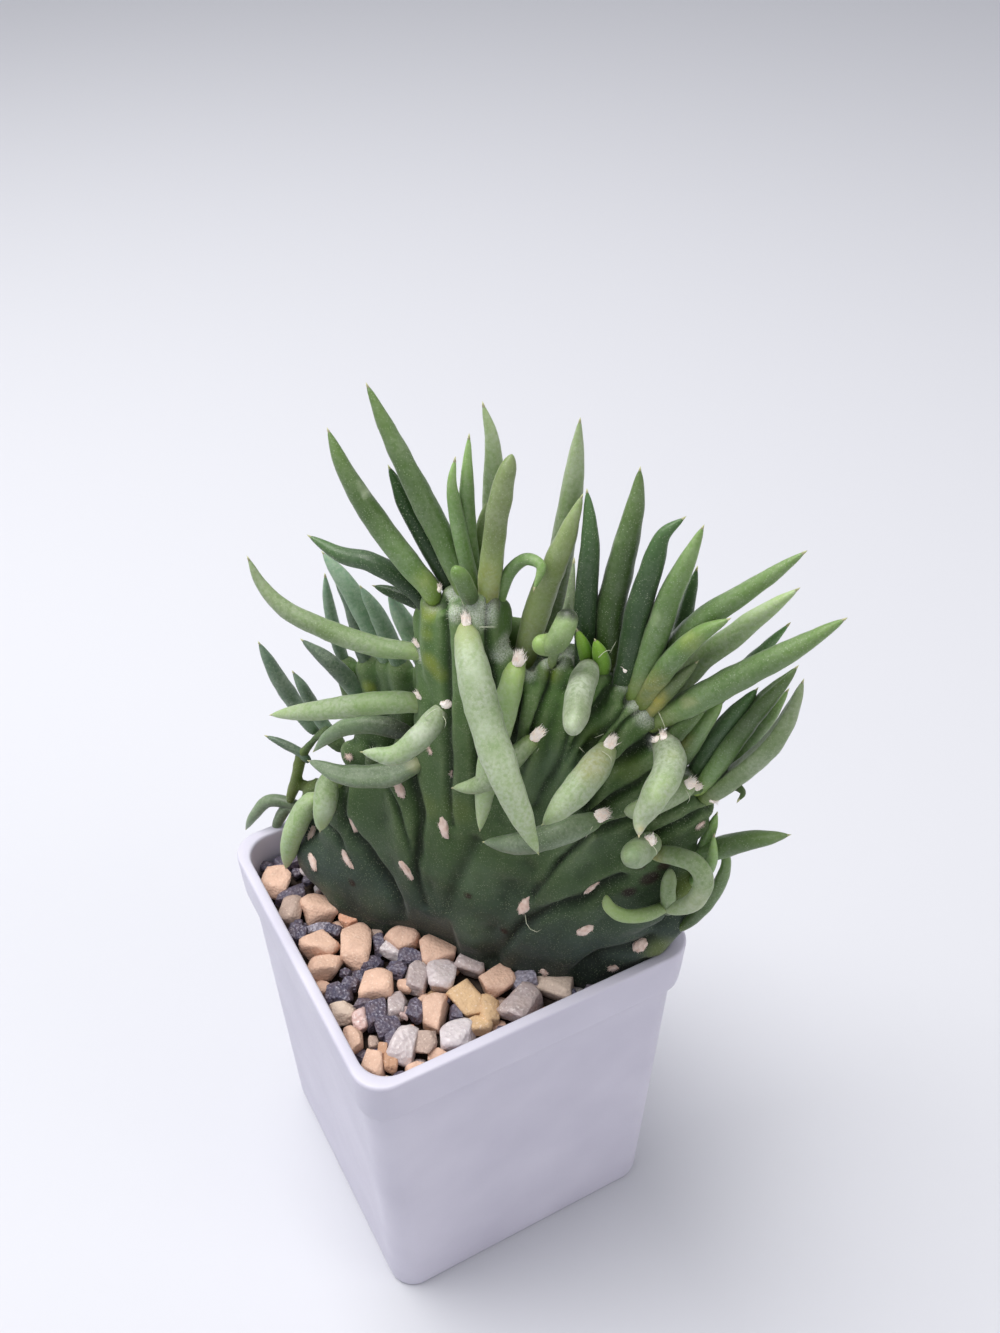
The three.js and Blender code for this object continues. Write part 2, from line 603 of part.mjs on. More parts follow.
// A block that fills the inside of the pot between two heights, with the gap all round
function fillingBlock(bottom, top) {
  return squareLoft([[insideHalf(bottom) - gap, bottom], [insideHalf(top) - gap, top]]);
}

function buildSoil() {
  const hole = footPrism(gap, footBottom - gap, soilTop + 1);
  return fillingBlock(floorThickness + gap, soilTop).subtract(hole);
}

// Stones that show in the photograph: pixels across and down, and size across and up in pixels
const seenStones = [
  [277, 881, 27, 30], [320, 910, 38, 28], [352, 921, 26, 20], [286, 912, 20, 18], [322, 945, 36, 24],
  [353, 948, 36, 36], [325, 967, 34, 26], [400, 932, 38, 26], [394, 951, 28, 16], [408, 958, 30, 24],
  [377, 988, 36, 32], [338, 995, 32, 22], [370, 966, 22, 16], [438, 952, 36, 34], [442, 978, 30, 30],
  [470, 963, 34, 16], [418, 981, 20, 28], [496, 982, 36, 30], [468, 1000, 32, 36], [434, 1012, 28, 42],
  [486, 1015, 34, 32], [457, 1037, 38, 30], [525, 979, 32, 24], [556, 986, 42, 24], [528, 1003, 34, 20],
  [404, 1047, 28, 44], [426, 1043, 24, 24], [415, 1010, 16, 36], [397, 1005, 20, 26], [343, 1013, 26, 20],
  [354, 1040, 22, 36], [379, 1020, 26, 34], [373, 1064, 27, 28],
];

// Places of the stones: those seen in front, then a jittered grid where none of those lie
function stonePlaces() {
  const random = makeRandom(905);
  const places = seenStones.map(([across, down, wide, tall]) => {
    const centre = seenAtHeight(across, down, stoneMiddle);
    const scale = centre.distanceTo(eye) / focalPixels;
    return { centre, halfWide: wide * scale * 0.5, halfDeep: tall * scale * 0.62, turn: viewTurn };
  });
  const seenCount = places.length;
  const edge = insideHalf(stoneMiddle) - stoneSpacing / 2;
  const count = Math.round((2 * edge) / stoneSpacing) + 1;
  for (let i = 0; i < count * count; i += 1) {
    const x = edge * ((2 * (i % count)) / (count - 1) - 1) + (random() - 0.5) * 1.6;
    const y = edge * ((2 * Math.floor(i / count)) / (count - 1) - 1) + (random() - 0.5) * 1.6;
    const size = 3.2 + random() * 1.2;
    const centre = new THREE.Vector3(x, y, stoneMiddle - random() * 0.8);
    const turn = random() * Math.PI;
    const taken = places.slice(0, seenCount)
      .some((place) => Math.hypot(place.centre.x - x, place.centre.y - y) < stoneSpacing * 0.6);
    if (!taken) {
      places.push({ centre, halfWide: size, halfDeep: size * 0.8, turn });
    }
  }
  return places;
}

// A stone: a lumpy ball with twenty faces that stays below the lowest fingers
function stone({ centre, halfWide, halfDeep, turn }, random) {
  const geometry = new THREE.IcosahedronGeometry(1, 0);
  geometry.rotateX(random() * 3);
  geometry.rotateY(random() * 3);
  geometry.scale(halfWide, halfDeep, Math.min(stoneLimit - centre.z, (halfWide + halfDeep) * 0.45));
  geometry.rotateZ(turn);
  geometry.translate(centre.x, centre.y, centre.z);
  return toSolid(geometry);
}

function buildGravel() {
  const bottom = soilTop + gap;
  const random = makeRandom(77);
  const stones = stonePlaces().map((place) => stone(place, random));
  const heap = joinAll([fillingBlock(bottom, gravelBedTop), ...stones]);
  const trimmed = heap.intersect(fillingBlock(bottom, stoneLimit));
  return mainBody(trimmed.subtract(footPrism(gap, bottom - 1, potHeight)));
}

function addPiece(group, name, solid, look) {
  const mesh = new THREE.Mesh(toGeometry(solid), new THREE.MeshStandardMaterial(look));
  mesh.name = name;
  group.add(mesh);
}

const pottedCactus = new THREE.Group();
addPiece(pottedCactus, 'pot', buildPot(), { color: '#dcdbe2', roughness: 0.35, metalness: 0 });
addPiece(pottedCactus, 'soil', buildSoil(), { color: '#3a2e26', roughness: 0.95, metalness: 0 });
addPiece(pottedCactus, 'gravel', buildGravel(), { color: '#c9ab92', roughness: 0.8, metalness: 0 });
addPiece(pottedCactus, 'crested_cactus', buildPlant(), { color: '#4f7a3e', roughness: 0.5, metalness: 0 });

export default pottedCactus;
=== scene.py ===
# %% [markdown]
# # A crested needle cactus in a square pot
#
# The plant is a cactus with round needle leaves whose growing tip has turned from a point into a
# line. Its stem is a fan of fingers that run up from one foot, each ending in a knob with a spot of
# wool. It stands in a small white plastic pot under mixed gravel. This lesson models the pot, the
# stones, the stem, the leaves, the wool and the hairs, and gives each a procedural finish.
#
# Everything is drawn in millimetres and brought to metres when a piece is finished, because plant
# and pot sizes are easier to judge that way.

# %% Load the fixed frame
import math

import bmesh
import bpy
from mathutils import Matrix, Vector, noise
from mathutils.bvhtree import BVHTree
from mathutils.kdtree import KDTree


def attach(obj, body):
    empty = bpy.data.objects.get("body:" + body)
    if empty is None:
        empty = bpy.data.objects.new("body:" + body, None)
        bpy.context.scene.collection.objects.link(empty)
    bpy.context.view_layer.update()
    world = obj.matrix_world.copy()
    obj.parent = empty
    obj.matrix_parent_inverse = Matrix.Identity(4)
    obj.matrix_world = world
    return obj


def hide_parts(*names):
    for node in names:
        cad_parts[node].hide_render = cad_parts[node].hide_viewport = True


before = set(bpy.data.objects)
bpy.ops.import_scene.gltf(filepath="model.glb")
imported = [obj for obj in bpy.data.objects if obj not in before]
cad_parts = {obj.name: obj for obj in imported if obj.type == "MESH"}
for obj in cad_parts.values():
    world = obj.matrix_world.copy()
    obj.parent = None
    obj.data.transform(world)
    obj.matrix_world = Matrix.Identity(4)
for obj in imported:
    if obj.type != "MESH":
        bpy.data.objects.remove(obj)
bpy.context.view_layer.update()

# %% [markdown]
# ## Helpers
#
# A seeded generator keeps each stone, leaf and tuft of wool in its place on every run. Colours are
# picked as sRGB hex values, the way a painter's palette gives them, and one function turns them to
# the linear values that a shader works with. A second one adds a shader node with its settings and
# links.

# %% Seeded numbers and colours
METRE = 0.001


def make_random(seed):
    """A function that gives the same run of numbers from 0 to 1 each time the script runs."""
    state = seed

    def next_number():
        nonlocal state
        state = (state * 16807) % 2147483647
        return state / 2147483647

    return next_number


def linear(hex_colour):
    """A colour picked as an sRGB hex value, as the linear value that a shader works with."""
    parts = [int(hex_colour[i:i + 2], 16) / 255 for i in (1, 3, 5)]
    return tuple(p / 12.92 if p <= 0.04045 else ((p + 0.055) / 1.055) ** 2.4 for p in parts) + (1.0,)


def blend_colours(first, second, share):
    """The first colour at share 0, the second at share 1, and a mix between."""
    return tuple(a + (b - a) * share for a, b in zip(first, second))


def clamp(value, low=0.0, high=1.0):
    """The value, stopped at two limits."""
    return max(low, min(high, value))


def smooth_step(low, high, value):
    """0 at one limit, 1 at the other, with a soft start and end. The limits may run downwards."""
    share = clamp((value - low) / (high - low))
    return share * share * (3 - 2 * share)


# %% Shader nodes
def add_node(tree, kind, inputs=(), **settings):
    """Adds a node, sets its properties, and fills or links its inputs."""
    node = tree.nodes.new(kind)
    for name, value in settings.items():
        setattr(node, name, value)
    for socket, value in dict(inputs).items():
        if isinstance(value, bpy.types.NodeSocket):
            tree.links.new(value, node.inputs[socket])
        else:
            node.inputs[socket].default_value = value
    return node


def new_finish(name, values):
    """A material with its shader's plain values and its output, ready for the nodes that feed them."""
    material = bpy.data.materials.new(name)
    material.use_nodes = True
    tree = material.node_tree
    tree.nodes.clear()
    shader = add_node(tree, "ShaderNodeBsdfPrincipled", values)
    add_node(tree, "ShaderNodeOutputMaterial", {"Surface": shader.outputs["BSDF"]})
    millimetres = add_node(tree, "ShaderNodeVectorMath", {
        0: add_node(tree, "ShaderNodeTexCoord").outputs["Object"], 1: (1000, 1000, 1000),
    }, operation="MULTIPLY").outputs[0]
    return material, tree, shader, millimetres


def spread(tree, value, low, high, to_low=0.0, to_high=1.0):
    """Stretches a value between two limits over a new range, and stops it there."""
    return add_node(tree, "ShaderNodeMapRange", {
        "Value": value, "From Min": low, "From Max": high, "To Min": to_low, "To Max": to_high,
    }).outputs["Result"]


def tint(tree, share, first, second, kind="MIX"):
    """Mixes two colours, either of which may be a hex value."""
    node = add_node(tree, "ShaderNodeMix", {0: share}, data_type="RGBA", blend_type=kind)
    for socket, colour in ((6, first), (7, second)):
        if isinstance(colour, str):
            node.inputs[socket].default_value = linear(colour)
        else:
            tree.links.new(colour, node.inputs[socket])
    return node.outputs[2]


# %% Finishing a piece
def make_object(name, bm):
    """Puts what a bmesh holds into the scene as an object, and frees the bmesh."""
    mesh = bpy.data.meshes.new(name)
    bm.to_mesh(mesh)
    bm.free()
    made = bpy.data.objects.new(name, mesh)
    bpy.context.scene.collection.objects.link(made)
    return made


def finish_piece(name, bm, material, smooth=True):
    """Turns a bmesh drawn in millimetres into an object in metres that rides on the part's body."""
    bmesh.ops.scale(bm, vec=(METRE,) * 3, verts=bm.verts)
    piece = make_object(name, bm)
    polygons = piece.data.polygons
    polygons.foreach_set("use_smooth", [smooth] * len(polygons))
    piece.data.materials.append(material)
    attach(piece, "root")
    print(name, "has", sum(len(face.vertices) - 2 for face in polygons), "triangles")
    return piece


def ease(bm, verts, rounds, factor=0.5):
    """Moves each point towards the middle of its neighbours, a number of times."""
    for _ in range(rounds):
        bmesh.ops.smooth_vert(bm, verts=verts, factor=factor,
                              use_axis_x=True, use_axis_y=True, use_axis_z=True)


# %% [markdown]
# ## Viewpoint
#
# The photograph looks down on the pot from its near corner. The camera's place and turn were worked
# out from the corners and edges of the pot, so a pixel of the photograph can be turned into a point
# on the plant: the ray through the pixel meets the fan's upright plane, or a plane a few
# millimetres before or behind it. Stones are found the same way on the level of the gravel.

# %% Camera
eye = Vector((-75.8, -161.7, 284.8))
view_turn, view_down, view_roll = math.radians(-28.2), math.radians(39.1), math.radians(-0.5)
focal_pixels = 1330
photo_size = (1000, 1333)

backward = Vector((math.sin(view_turn) * math.cos(view_down),
                   -math.cos(view_turn) * math.cos(view_down), math.sin(view_down)))
level = Vector((math.cos(view_turn), math.sin(view_turn), 0))
steep = backward.cross(level)
right = level * math.cos(view_roll) + steep * math.sin(view_roll)
upward = steep * math.cos(view_roll) - level * math.sin(view_roll)

camera_data = bpy.data.cameras.new("photo_camera")
camera_data.sensor_fit = "AUTO"
camera_data.sensor_width = 36
camera_data.lens = 36 * focal_pixels / photo_size[1]
camera_data.clip_start = 0.01
camera = bpy.data.objects.new("photo_camera", camera_data)
camera.matrix_world = Matrix.Translation(eye * METRE) @ Matrix(
    (right, upward, backward)).transposed().to_4x4()
bpy.context.scene.collection.objects.link(camera)
bpy.context.scene.camera = camera
print("Camera lens", round(camera_data.lens, 2), "mm")

# %% From a pixel to a place
fan_turn = math.radians(-45.5)
fan_origin = Vector((3.8, -5.6, 0))
along = Vector((math.cos(fan_turn), math.sin(fan_turn), 0))
front = Vector((math.sin(fan_turn), -math.cos(fan_turn), 0))


def look_through(across, down):
    """The direction in which the camera sees a pixel."""
    return (backward * -focal_pixels + right * (across - photo_size[0] / 2)
            + upward * (photo_size[1] / 2 - down))


def seen_at(pixel_point):
    """The place at a pixel, a number of millimetres in front of the fan's middle plane."""
    across, down, in_front = pixel_point
    ray = look_through(across, down)
    return eye + ray * ((fan_origin.dot(front) + in_front - eye.dot(front)) / ray.dot(front))


def seen_at_height(across, down, height):
    """The place at a pixel, at a height above the ground."""
    ray = look_through(across, down)
    return eye + ray * ((height - eye.z) / ray.z)


def in_fan(along_fan, in_front, height):
    """The place that is so far along the fan, so far in front of it and so high."""
    return fan_origin + along * along_fan + front * in_front + Vector((0, 0, height))


def fan_position(place):
    """How far along the fan, how far in front of it and how high a place is."""
    flat = place - fan_origin
    return flat.dot(along), flat.dot(front), place.z


# %% [markdown]
# ## Studio
#
# The photograph is lit by soft daylight from above and from the left: the rim of the pot is its
# brightest part, the left wall is lighter than the right one, and no shadow has a hard edge. Large
# area lights do the same. The floor is pale and runs far out, so that it fills the whole frame.

# %% Floor
floor_bm = bmesh.new()
bmesh.ops.create_grid(floor_bm, x_segments=1, y_segments=1, size=6)
studio_floor = make_object("studio_floor", floor_bm)
paper, *_ = new_finish("matt_studio_paper", {"Base Color": linear("#cfd0d6"), "Roughness": 0.9})
studio_floor.data.materials.append(paper)
print("Floor is", round(studio_floor.dimensions.x), "m wide")


# %% Lights
def add_area_light(name, place, target, size, power, colour):
    """A round lamp at a place in metres that points at a target."""
    lamp = bpy.data.lights.new(name, "AREA")
    lamp.shape = "DISK"
    lamp.size = size
    lamp.energy = power
    lamp.color = linear(colour)[:3]
    light = bpy.data.objects.new(name, lamp)
    aim = (Vector(target) - Vector(place)).to_track_quat("-Z", "Y")
    light.matrix_world = Matrix.Translation(place) @ aim.to_matrix().to_4x4()
    bpy.context.scene.collection.objects.link(light)
    print(name, "gives", power, "W over", size, "m")


add_area_light("sky_window", (-0.25, 0.25, 1.05), (0, 0, 0.1), 0.8, 12.0, "#fffefb")
add_area_light("left_window", (-0.95, 0.40, 0.50), (0, 0, 0.08), 0.6, 0.7, "#f8f8ff")
add_area_light("right_fill", (0.60, -0.85, 0.50), (0, 0, 0.1), 0.7, 2.1, "#fffaf4")

# The standard view shows each finish in the colour that its hex value names
bpy.context.scene.view_settings.view_transform = "Standard"
world = bpy.data.worlds.new("pale_room")
world.use_nodes = True
background = world.node_tree.nodes["Background"]
background.inputs["Color"].default_value = linear("#e9eaf0")
background.inputs["Strength"].default_value = 0.64
bpy.context.scene.world = world

# %% [markdown]
# ## Pot
#
# The pot is injection-moulded in white polypropylene: a rounded square with walls that lean out, a
# collar round the top, a narrow rim, a floor with drain holes. One face could be lofted through
# measured levels or a box could be bevelled. Here a square face gets round corners, is cut near
# each corner so that the flat walls shade flat, and is extruded from level to level: up outside,
# over the rim and down inside to the floor. The walls bow in a little, as thin moulded ones do.

# %% Pot sizes
pot_height, rim_width, base_width = 82.0, 70.0, 61.5
band_height, band_stands_out, rim_top_width = 10.8, 1.2, 2.3
wall, floor_thickness, pot_corner, edge_round = 1.6, 2.0, 6.2, 0.9
band_bottom = pot_height - band_height


def inside_half(height):
    """Half the width of the room inside the pot, at a height."""
    top, bottom = rim_width / 2 - rim_top_width, base_width / 2 - wall
    return bottom + (top - bottom) * (height / pot_height)


print("Pot is", round(2 * inside_half(pot_height), 1), "mm wide inside the rim")


# %% A rounded square that is pulled through levels
def rounded_square_loft(levels, corner_segments=10):
    """Extrudes a rounded square through levels of (half width, height), and closes both ends."""
    bm = bmesh.new()
    half, height = levels[0]
    corner = pot_corner * half / (rim_width / 2)
    bmesh.ops.create_grid(bm, x_segments=1, y_segments=1, size=half)
    bmesh.ops.bevel(bm, geom=bm.verts[:], offset=corner, offset_type="OFFSET", affect="VERTICES",
                    segments=corner_segments, profile=0.5, material=-1)
    for share in (-0.97, -0.55, 0.0, 0.55, 0.97):
        for direction in ((1, 0, 0), (0, 1, 0)):
            cut = Vector(direction) * share * (half - corner)
            bmesh.ops.bisect_plane(bm, geom=bm.verts[:] + bm.edges[:] + bm.faces[:], dist=1e-5,
                                   plane_co=cut, plane_no=direction)
    bmesh.ops.translate(bm, vec=(0, 0, height), verts=bm.verts)
    top = bm.faces[:]
    for next_half, next_height in levels[1:]:
        made = bmesh.ops.extrude_face_region(bm, geom=top)["geom"]
        if height != levels[0][1]:
            bmesh.ops.delete(bm, geom=top, context="FACES")
        verts = [item for item in made if isinstance(item, bmesh.types.BMVert)]
        top = [item for item in made if isinstance(item, bmesh.types.BMFace)]
        grow = next_half / half
        bmesh.ops.scale(bm, vec=(grow, grow, 1), verts=verts)
        bmesh.ops.translate(bm, vec=(0, 0, next_height - height), verts=verts)
        half, height = next_half, next_height
    bmesh.ops.recalc_face_normals(bm, faces=bm.faces)
    return bm


# %% Pot body
rim_half, base_half = rim_width / 2, base_width / 2
under_band = rim_half - band_stands_out - 0.5
wall_slope = (under_band - base_half) / (band_bottom - 1.4)
pot_levels = [(base_half - edge_round, 0.0), (base_half - edge_round * 0.55, edge_round * 0.12),
              (base_half - edge_round * 0.15, edge_round * 0.45), (base_half, edge_round)]
pot_levels += [(base_half + wall_slope * h, h) for h in (1.3, 8, 18, 30, 42, 54, 64, band_bottom - 1.4)]
pot_levels += [
    (rim_half - band_stands_out - 0.3, band_bottom - 0.9),
    (rim_half - band_stands_out + 0.25, band_bottom - 0.45),
    (rim_half - 0.75, band_bottom - 0.2), (rim_half - 0.52, band_bottom + 0.15),
    (rim_half - 0.45, band_bottom + 0.8), (rim_half - 0.2, band_bottom + 5),
    (rim_half, pot_height - 0.8), (rim_half - 0.03, pot_height - 0.5), (rim_half - 0.12, pot_height - 0.22),
    (rim_half - 0.28, pot_height - 0.06), (rim_half - 0.5, pot_height),
    (rim_half - rim_top_width + 0.5, pot_height), (rim_half - rim_top_width + 0.22, pot_height - 0.08),
    (rim_half - rim_top_width + 0.06, pot_height - 0.3),
]
pot_levels += [(inside_half(h), h) for h in (pot_height - 0.9, 76, 60, 40, 20, floor_thickness + 1.0)]
pot_levels += [(inside_half(2) - 0.8, floor_thickness + 0.15), (inside_half(2) - 1.6, floor_thickness)]
pot_bm = rounded_square_loft(pot_levels)
wall_bow = 0.012
for vert in pot_bm.verts:
    rise = math.sin(math.pi * clamp(vert.co.z / band_bottom))
    for this, other in ((0, 1), (1, 0)):
        if abs(vert.co[this]) > base_half * 0.93 and vert.co.z < band_bottom:
            across = math.cos(0.5 * math.pi * clamp(abs(vert.co[other]) / (base_half - pot_corner)))
            vert.co[this] *= 1 - wall_bow * rise * across
print("Pot wall leans out by", round(math.degrees(math.atan(wall_slope)), 1), "degrees")

# %% Drain holes
hole_half, hole_from_middle = 2.5, 17
pot_blank = make_object("pot_blank", pot_bm)
drill_bm = bmesh.new()
for x, y in ((1, 1), (1, -1), (-1, -1), (-1, 1)):
    hole_place = Matrix.Translation((x * hole_from_middle, y * hole_from_middle, 0))
    bmesh.ops.create_cone(drill_bm, cap_ends=True, segments=32, radius1=hole_half, radius2=hole_half,
                          depth=8, matrix=hole_place)
drill = make_object("drill", drill_bm)
cut = pot_blank.modifiers.new("drain_holes", "BOOLEAN")
cut.operation, cut.solver, cut.object = "DIFFERENCE", "EXACT", drill
drilled = pot_blank.evaluated_get(bpy.context.evaluated_depsgraph_get()).to_mesh()
pot_bm = bmesh.new()
pot_bm.from_mesh(drilled)
for spare in (pot_blank, drill):
    bpy.data.objects.remove(spare)
print("Pot has", len(pot_bm.faces), "faces once drilled")

# %% [markdown]
# Polypropylene from a polished mould has a satin gloss with very slight waves, and lets a little
# light in under its surface. Its white carries a cool lilac cast that is painted bounce light, the
# tint that cool light from round the pot would give it, and a few dark specks of dust.

# %% Pot finish
moulded_plastic, tree, shader, millimetres = new_finish("moulded_white_polypropylene", {
    "IOR": 1.49, "Subsurface Weight": 0.12, "Subsurface Radius": (0.0016, 0.0015, 0.0017),
    "Subsurface Scale": 1.0})
waves = add_node(tree, "ShaderNodeTexNoise", {"Vector": millimetres, "Scale": 0.06, "Detail": 2})
grain = add_node(tree, "ShaderNodeTexNoise", {"Vector": millimetres, "Scale": 1.6, "Detail": 3})
specks = add_node(tree, "ShaderNodeTexVoronoi", {"Vector": millimetres, "Scale": 0.055})
specked = spread(tree, specks.outputs["Distance"], 0.014, 0.022, 0.7, 0.0)
# Both whites hold the painted lilac cast of bounce light; the waves between them vary the plastic's own
# tone
body_colour = tint(tree, spread(tree, waves.outputs[0], 0.3, 0.7), "#c6c3d2", "#cfccda")
tree.links.new(tint(tree, specked, body_colour, "#6d6478"), shader.inputs["Base Color"])
tree.links.new(spread(tree, grain.outputs[0], 0.3, 0.7, 0.36, 0.46), shader.inputs["Roughness"])
ripple = add_node(tree, "ShaderNodeBump", {
    "Height": waves.outputs[0], "Strength": 0.25, "Distance": 0.0012})
fine = add_node(tree, "ShaderNodeBump", {
    "Height": grain.outputs[0], "Strength": 0.08, "Distance": 0.00012, "Normal": ripple.outputs["Normal"]})
tree.links.new(fine.outputs["Normal"], shader.inputs["Normal"])
white_pot = finish_piece("white_pot", pot_bm, moulded_plastic)
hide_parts("pot")

# %% [markdown]
# ## Soil
#
# The soil only shows as darkness between the stones, so its measured block from the model stays. It
# gets the look of peat with fine crumbs: matt, dark brown, and uneven.

# %% Soil finish
peat, tree, shader, millimetres = new_finish("dark_peat_soil", {"Roughness": 0.95})
crumbs = add_node(tree, "ShaderNodeTexVoronoi", {"Vector": millimetres, "Scale": 0.9})
damp = add_node(tree, "ShaderNodeTexNoise", {"Vector": millimetres, "Scale": 0.4, "Detail": 5})
tree.links.new(tint(tree, damp.outputs[0], "#2a211c", "#4a3b31"), shader.inputs["Base Color"])
crumb_bump = add_node(tree, "ShaderNodeBump", {
    "Height": crumbs.outputs[0], "Strength": 0.8, "Distance": 0.0008})
tree.links.new(crumb_bump.outputs["Normal"], shader.inputs["Normal"])
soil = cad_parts["soil"]
print("Soil node is", type(soil).__name__)
for slot in soil.material_slots:
    slot.material = peat

# %% [markdown]
# ## Gravel
#
# The top dressing is washed aquarium gravel: rounded beige and peach stones, grey-violet slate chips
# and milky quartz, 4 to 9 mm across. Each stone starts as a ball whose skin is pressed flat against
# a few planes, which leaves blunt facets with soft edges, and is then roughened a little. The
# stones that show have their own place, size and kind. The rest are strewn by a rule that keeps
# them apart, in two layers over a dark bed.

# %% Carving a stone
soil_top, stone_middle, highest_stone = 70.0, 75.8, 79.0


def random_direction(random):
    """A direction of length 1 that points anywhere."""
    height, turn = 2 * random() - 1, 2 * math.pi * random()
    flat = math.sqrt(1 - height * height)
    return Vector((flat * math.cos(turn), flat * math.sin(turn), height))


def carve_stone(bm, centre, halves, turn, random, detail, facets=8, tilt=0.25):
    """Adds a ball pressed flat on some sides, with half sizes across, deep and high."""
    skin = bmesh.ops.create_icosphere(bm, subdivisions=detail, radius=1)["verts"]
    sides = [Vector(side) * sign for side in ((1, 0, 0), (0, 1, 0), (0, 0, 1)) for sign in (1, -1)]
    planes = [((side + random_direction(random) * 0.35).normalized(), 0.58 + 0.12 * random())
              for side in sides]
    planes += [(random_direction(random), 0.62 + 0.22 * random()) for _ in range(facets - 6)]
    offset = Vector((random(), random(), random())) * 40
    for vert in skin:
        place = vert.co.normalized()
        for direction, depth in planes:
            beyond = place.dot(direction) - depth
            if beyond > 0:
                place = place - direction * beyond
        rough = 1.28 + 0.10 * noise.noise(place * 1.3 + offset) + 0.03 * noise.noise(place * 6 + offset)
        vert.co = place * rough
    lean = Matrix.Rotation((random() - 0.5) * 2 * tilt, 4, random_direction(random))
    turned = Matrix.Translation(centre) @ Matrix.Rotation(turn, 4, "Z") @ lean
    bmesh.ops.transform(bm, matrix=turned @ Matrix.Diagonal((*halves, 1)), verts=skin)


# %% Stones that show
# Each has a kind, a pixel across and down, its size across and up in pixels, and its turn in degrees
stones_seen = [
    ("beige", 277, 881, 27, 30, 0), ("beige", 320, 910, 38, 28, 0), ("peach", 352, 920, 24, 20, 10),
    ("beige_grey", 290, 914, 27, 27, 0), ("beige", 320, 946, 35, 29, -30), ("beige", 355, 949, 34, 38, 0),
    ("beige", 325, 967, 34, 26, 0), ("beige", 404, 932, 40, 28, 20), ("beige_grey", 378, 933, 13, 19, 0),
    ("slate", 380, 945, 16, 22, 0), ("quartz", 394, 951, 28, 16, -30), ("slate", 411, 958, 28, 18, 0),
    ("slate", 398, 971, 22, 18, 0), ("beige", 377, 988, 36, 32, 0), ("slate", 338, 995, 32, 22, 0),
    ("slate", 370, 966, 22, 16, 0), ("beige", 438, 952, 36, 34, 0), ("quartz", 442, 978, 30, 30, 0),
    ("quartz_smoky", 470, 965, 32, 20, -20), ("quartz_smoky", 416, 979, 27, 30, 0),
    ("beige", 496, 982, 36, 30, 30), ("yellow", 468, 1000, 32, 36, 35), ("beige", 434, 1012, 28, 42, 0),
    ("slate", 457, 1013, 16, 16, 0), ("yellow", 489, 1012, 24, 27, 0), ("yellow", 480, 1025, 24, 19, 10),
    ("quartz", 457, 1037, 38, 30, 0), ("slate_pale", 524, 981, 33, 25, 0),
    ("beige_pale", 556, 986, 42, 24, -25), ("quartz_smoky", 521, 1006, 38, 38, -20),
    ("quartz", 404, 1047, 28, 44, -20), ("beige_grey", 426, 1043, 24, 24, 0),
    ("slate", 415, 1010, 18, 34, 0), ("quartz_smoky", 397, 1005, 20, 26, 0),
    ("beige", 404, 986, 15, 14, 0), ("beige_pale", 343, 1013, 28, 20, 0),
    ("quartz_pink", 360, 1021, 16, 18, 0), ("beige", 354, 1040, 20, 36, 10),
    ("slate", 377, 1014, 26, 28, 0), ("slate", 387, 1028, 24, 22, 20), ("slate", 392, 1038, 17, 20, 0),
    ("beige", 373, 1064, 27, 26, 0), ("tan", 390, 1063, 14, 18, 0), ("slate", 293, 896, 34, 19, 0),
    ("slate", 334, 931, 20, 14, 0), ("slate", 297, 935, 24, 20, 0), ("slate_pale", 318, 929, 30, 12, 10),
    ("tan", 383, 1049, 12, 12, 0), ("quartz_pink", 404, 1013, 10, 16, 0), ("slate", 298, 925, 12, 12, 0),
    ("slate", 350, 985, 20, 14, 0), ("slate", 363, 1004, 18, 12, 0), ("slate", 345, 973, 12, 10, 0),
    ("slate", 447, 1000, 12, 10, 0),
]
# One of them leans on the stem, higher than the rest
leaning_stone, leaning_rise = (404, 932), 3.0
print(len(stones_seen), "stones traced")

# %% Strewing the stones
kind_piece = {"slate": "slate_chips", "quartz": "quartz_pebbles"}
stone_colours = {
    "beige": "#e6bfa8", "beige_pale": "#dcc8b8", "peach": "#e6ab8c", "yellow": "#e6c193", "tan": "#c99a7a",
    "beige_grey": "#b8a297", "slate": "#4f4c60", "slate_pale": "#8f8c9b", "quartz": "#dcd3d6",
    "quartz_smoky": "#bcaead", "quartz_pink": "#dcb9b4",
}
stone_bms = {name: bmesh.new() for name in ("beige_pebbles", "slate_chips", "quartz_pebbles")}
for stone_bm in stone_bms.values():
    stone_bm.verts.layers.float_color.new("skin")
stone_random = make_random(77)
placed = []


def add_stone(kind, centre, halves, turn, detail):
    """Carves a stone into the piece of its kind, with a tint of its own."""
    bm = stone_bms[kind_piece.get(kind.split("_")[0], "beige_pebbles")]
    facets = 15 if "slate" in kind else 11
    first = len(bm.verts)
    carve_stone(bm, centre, halves, turn, stone_random, detail, facets)
    bm.verts.ensure_lookup_table()
    skin = bm.verts.layers.float_color["skin"]
    dust = "#77738a" if "slate" in kind else "#a58a78"
    colour = blend_colours(linear(stone_colours[kind]), linear(dust), 0.25 * stone_random())
    for vert in bm.verts[first:]:
        vert[skin] = colour
    placed.append((centre, (halves[0] + halves[1]) / 2))


for kind, across, down, wide, tall, turned in stones_seen:
    rise = leaning_rise if (across, down) == leaning_stone else 0
    centre = seen_at_height(across, down, stone_middle + rise)
    scale = (centre - eye).length / focal_pixels
    half_wide, half_tall = 0.5 * wide * scale, 0.5 * tall * scale
    half_high = min(0.85 * half_wide, 0.95 * half_tall, 3.2)
    seen_deep = max(half_tall ** 2 - (half_high * math.cos(view_down)) ** 2, (0.45 * half_tall) ** 2)
    half_deep = min(math.sqrt(seen_deep) / math.sin(view_down), 1.5 * half_wide)
    centre.z = min(centre.z, highest_stone - half_high)
    add_stone(kind, centre, (half_wide, half_deep, half_high), view_turn + math.radians(turned), 3)
print(len(placed), "stones placed by eye")

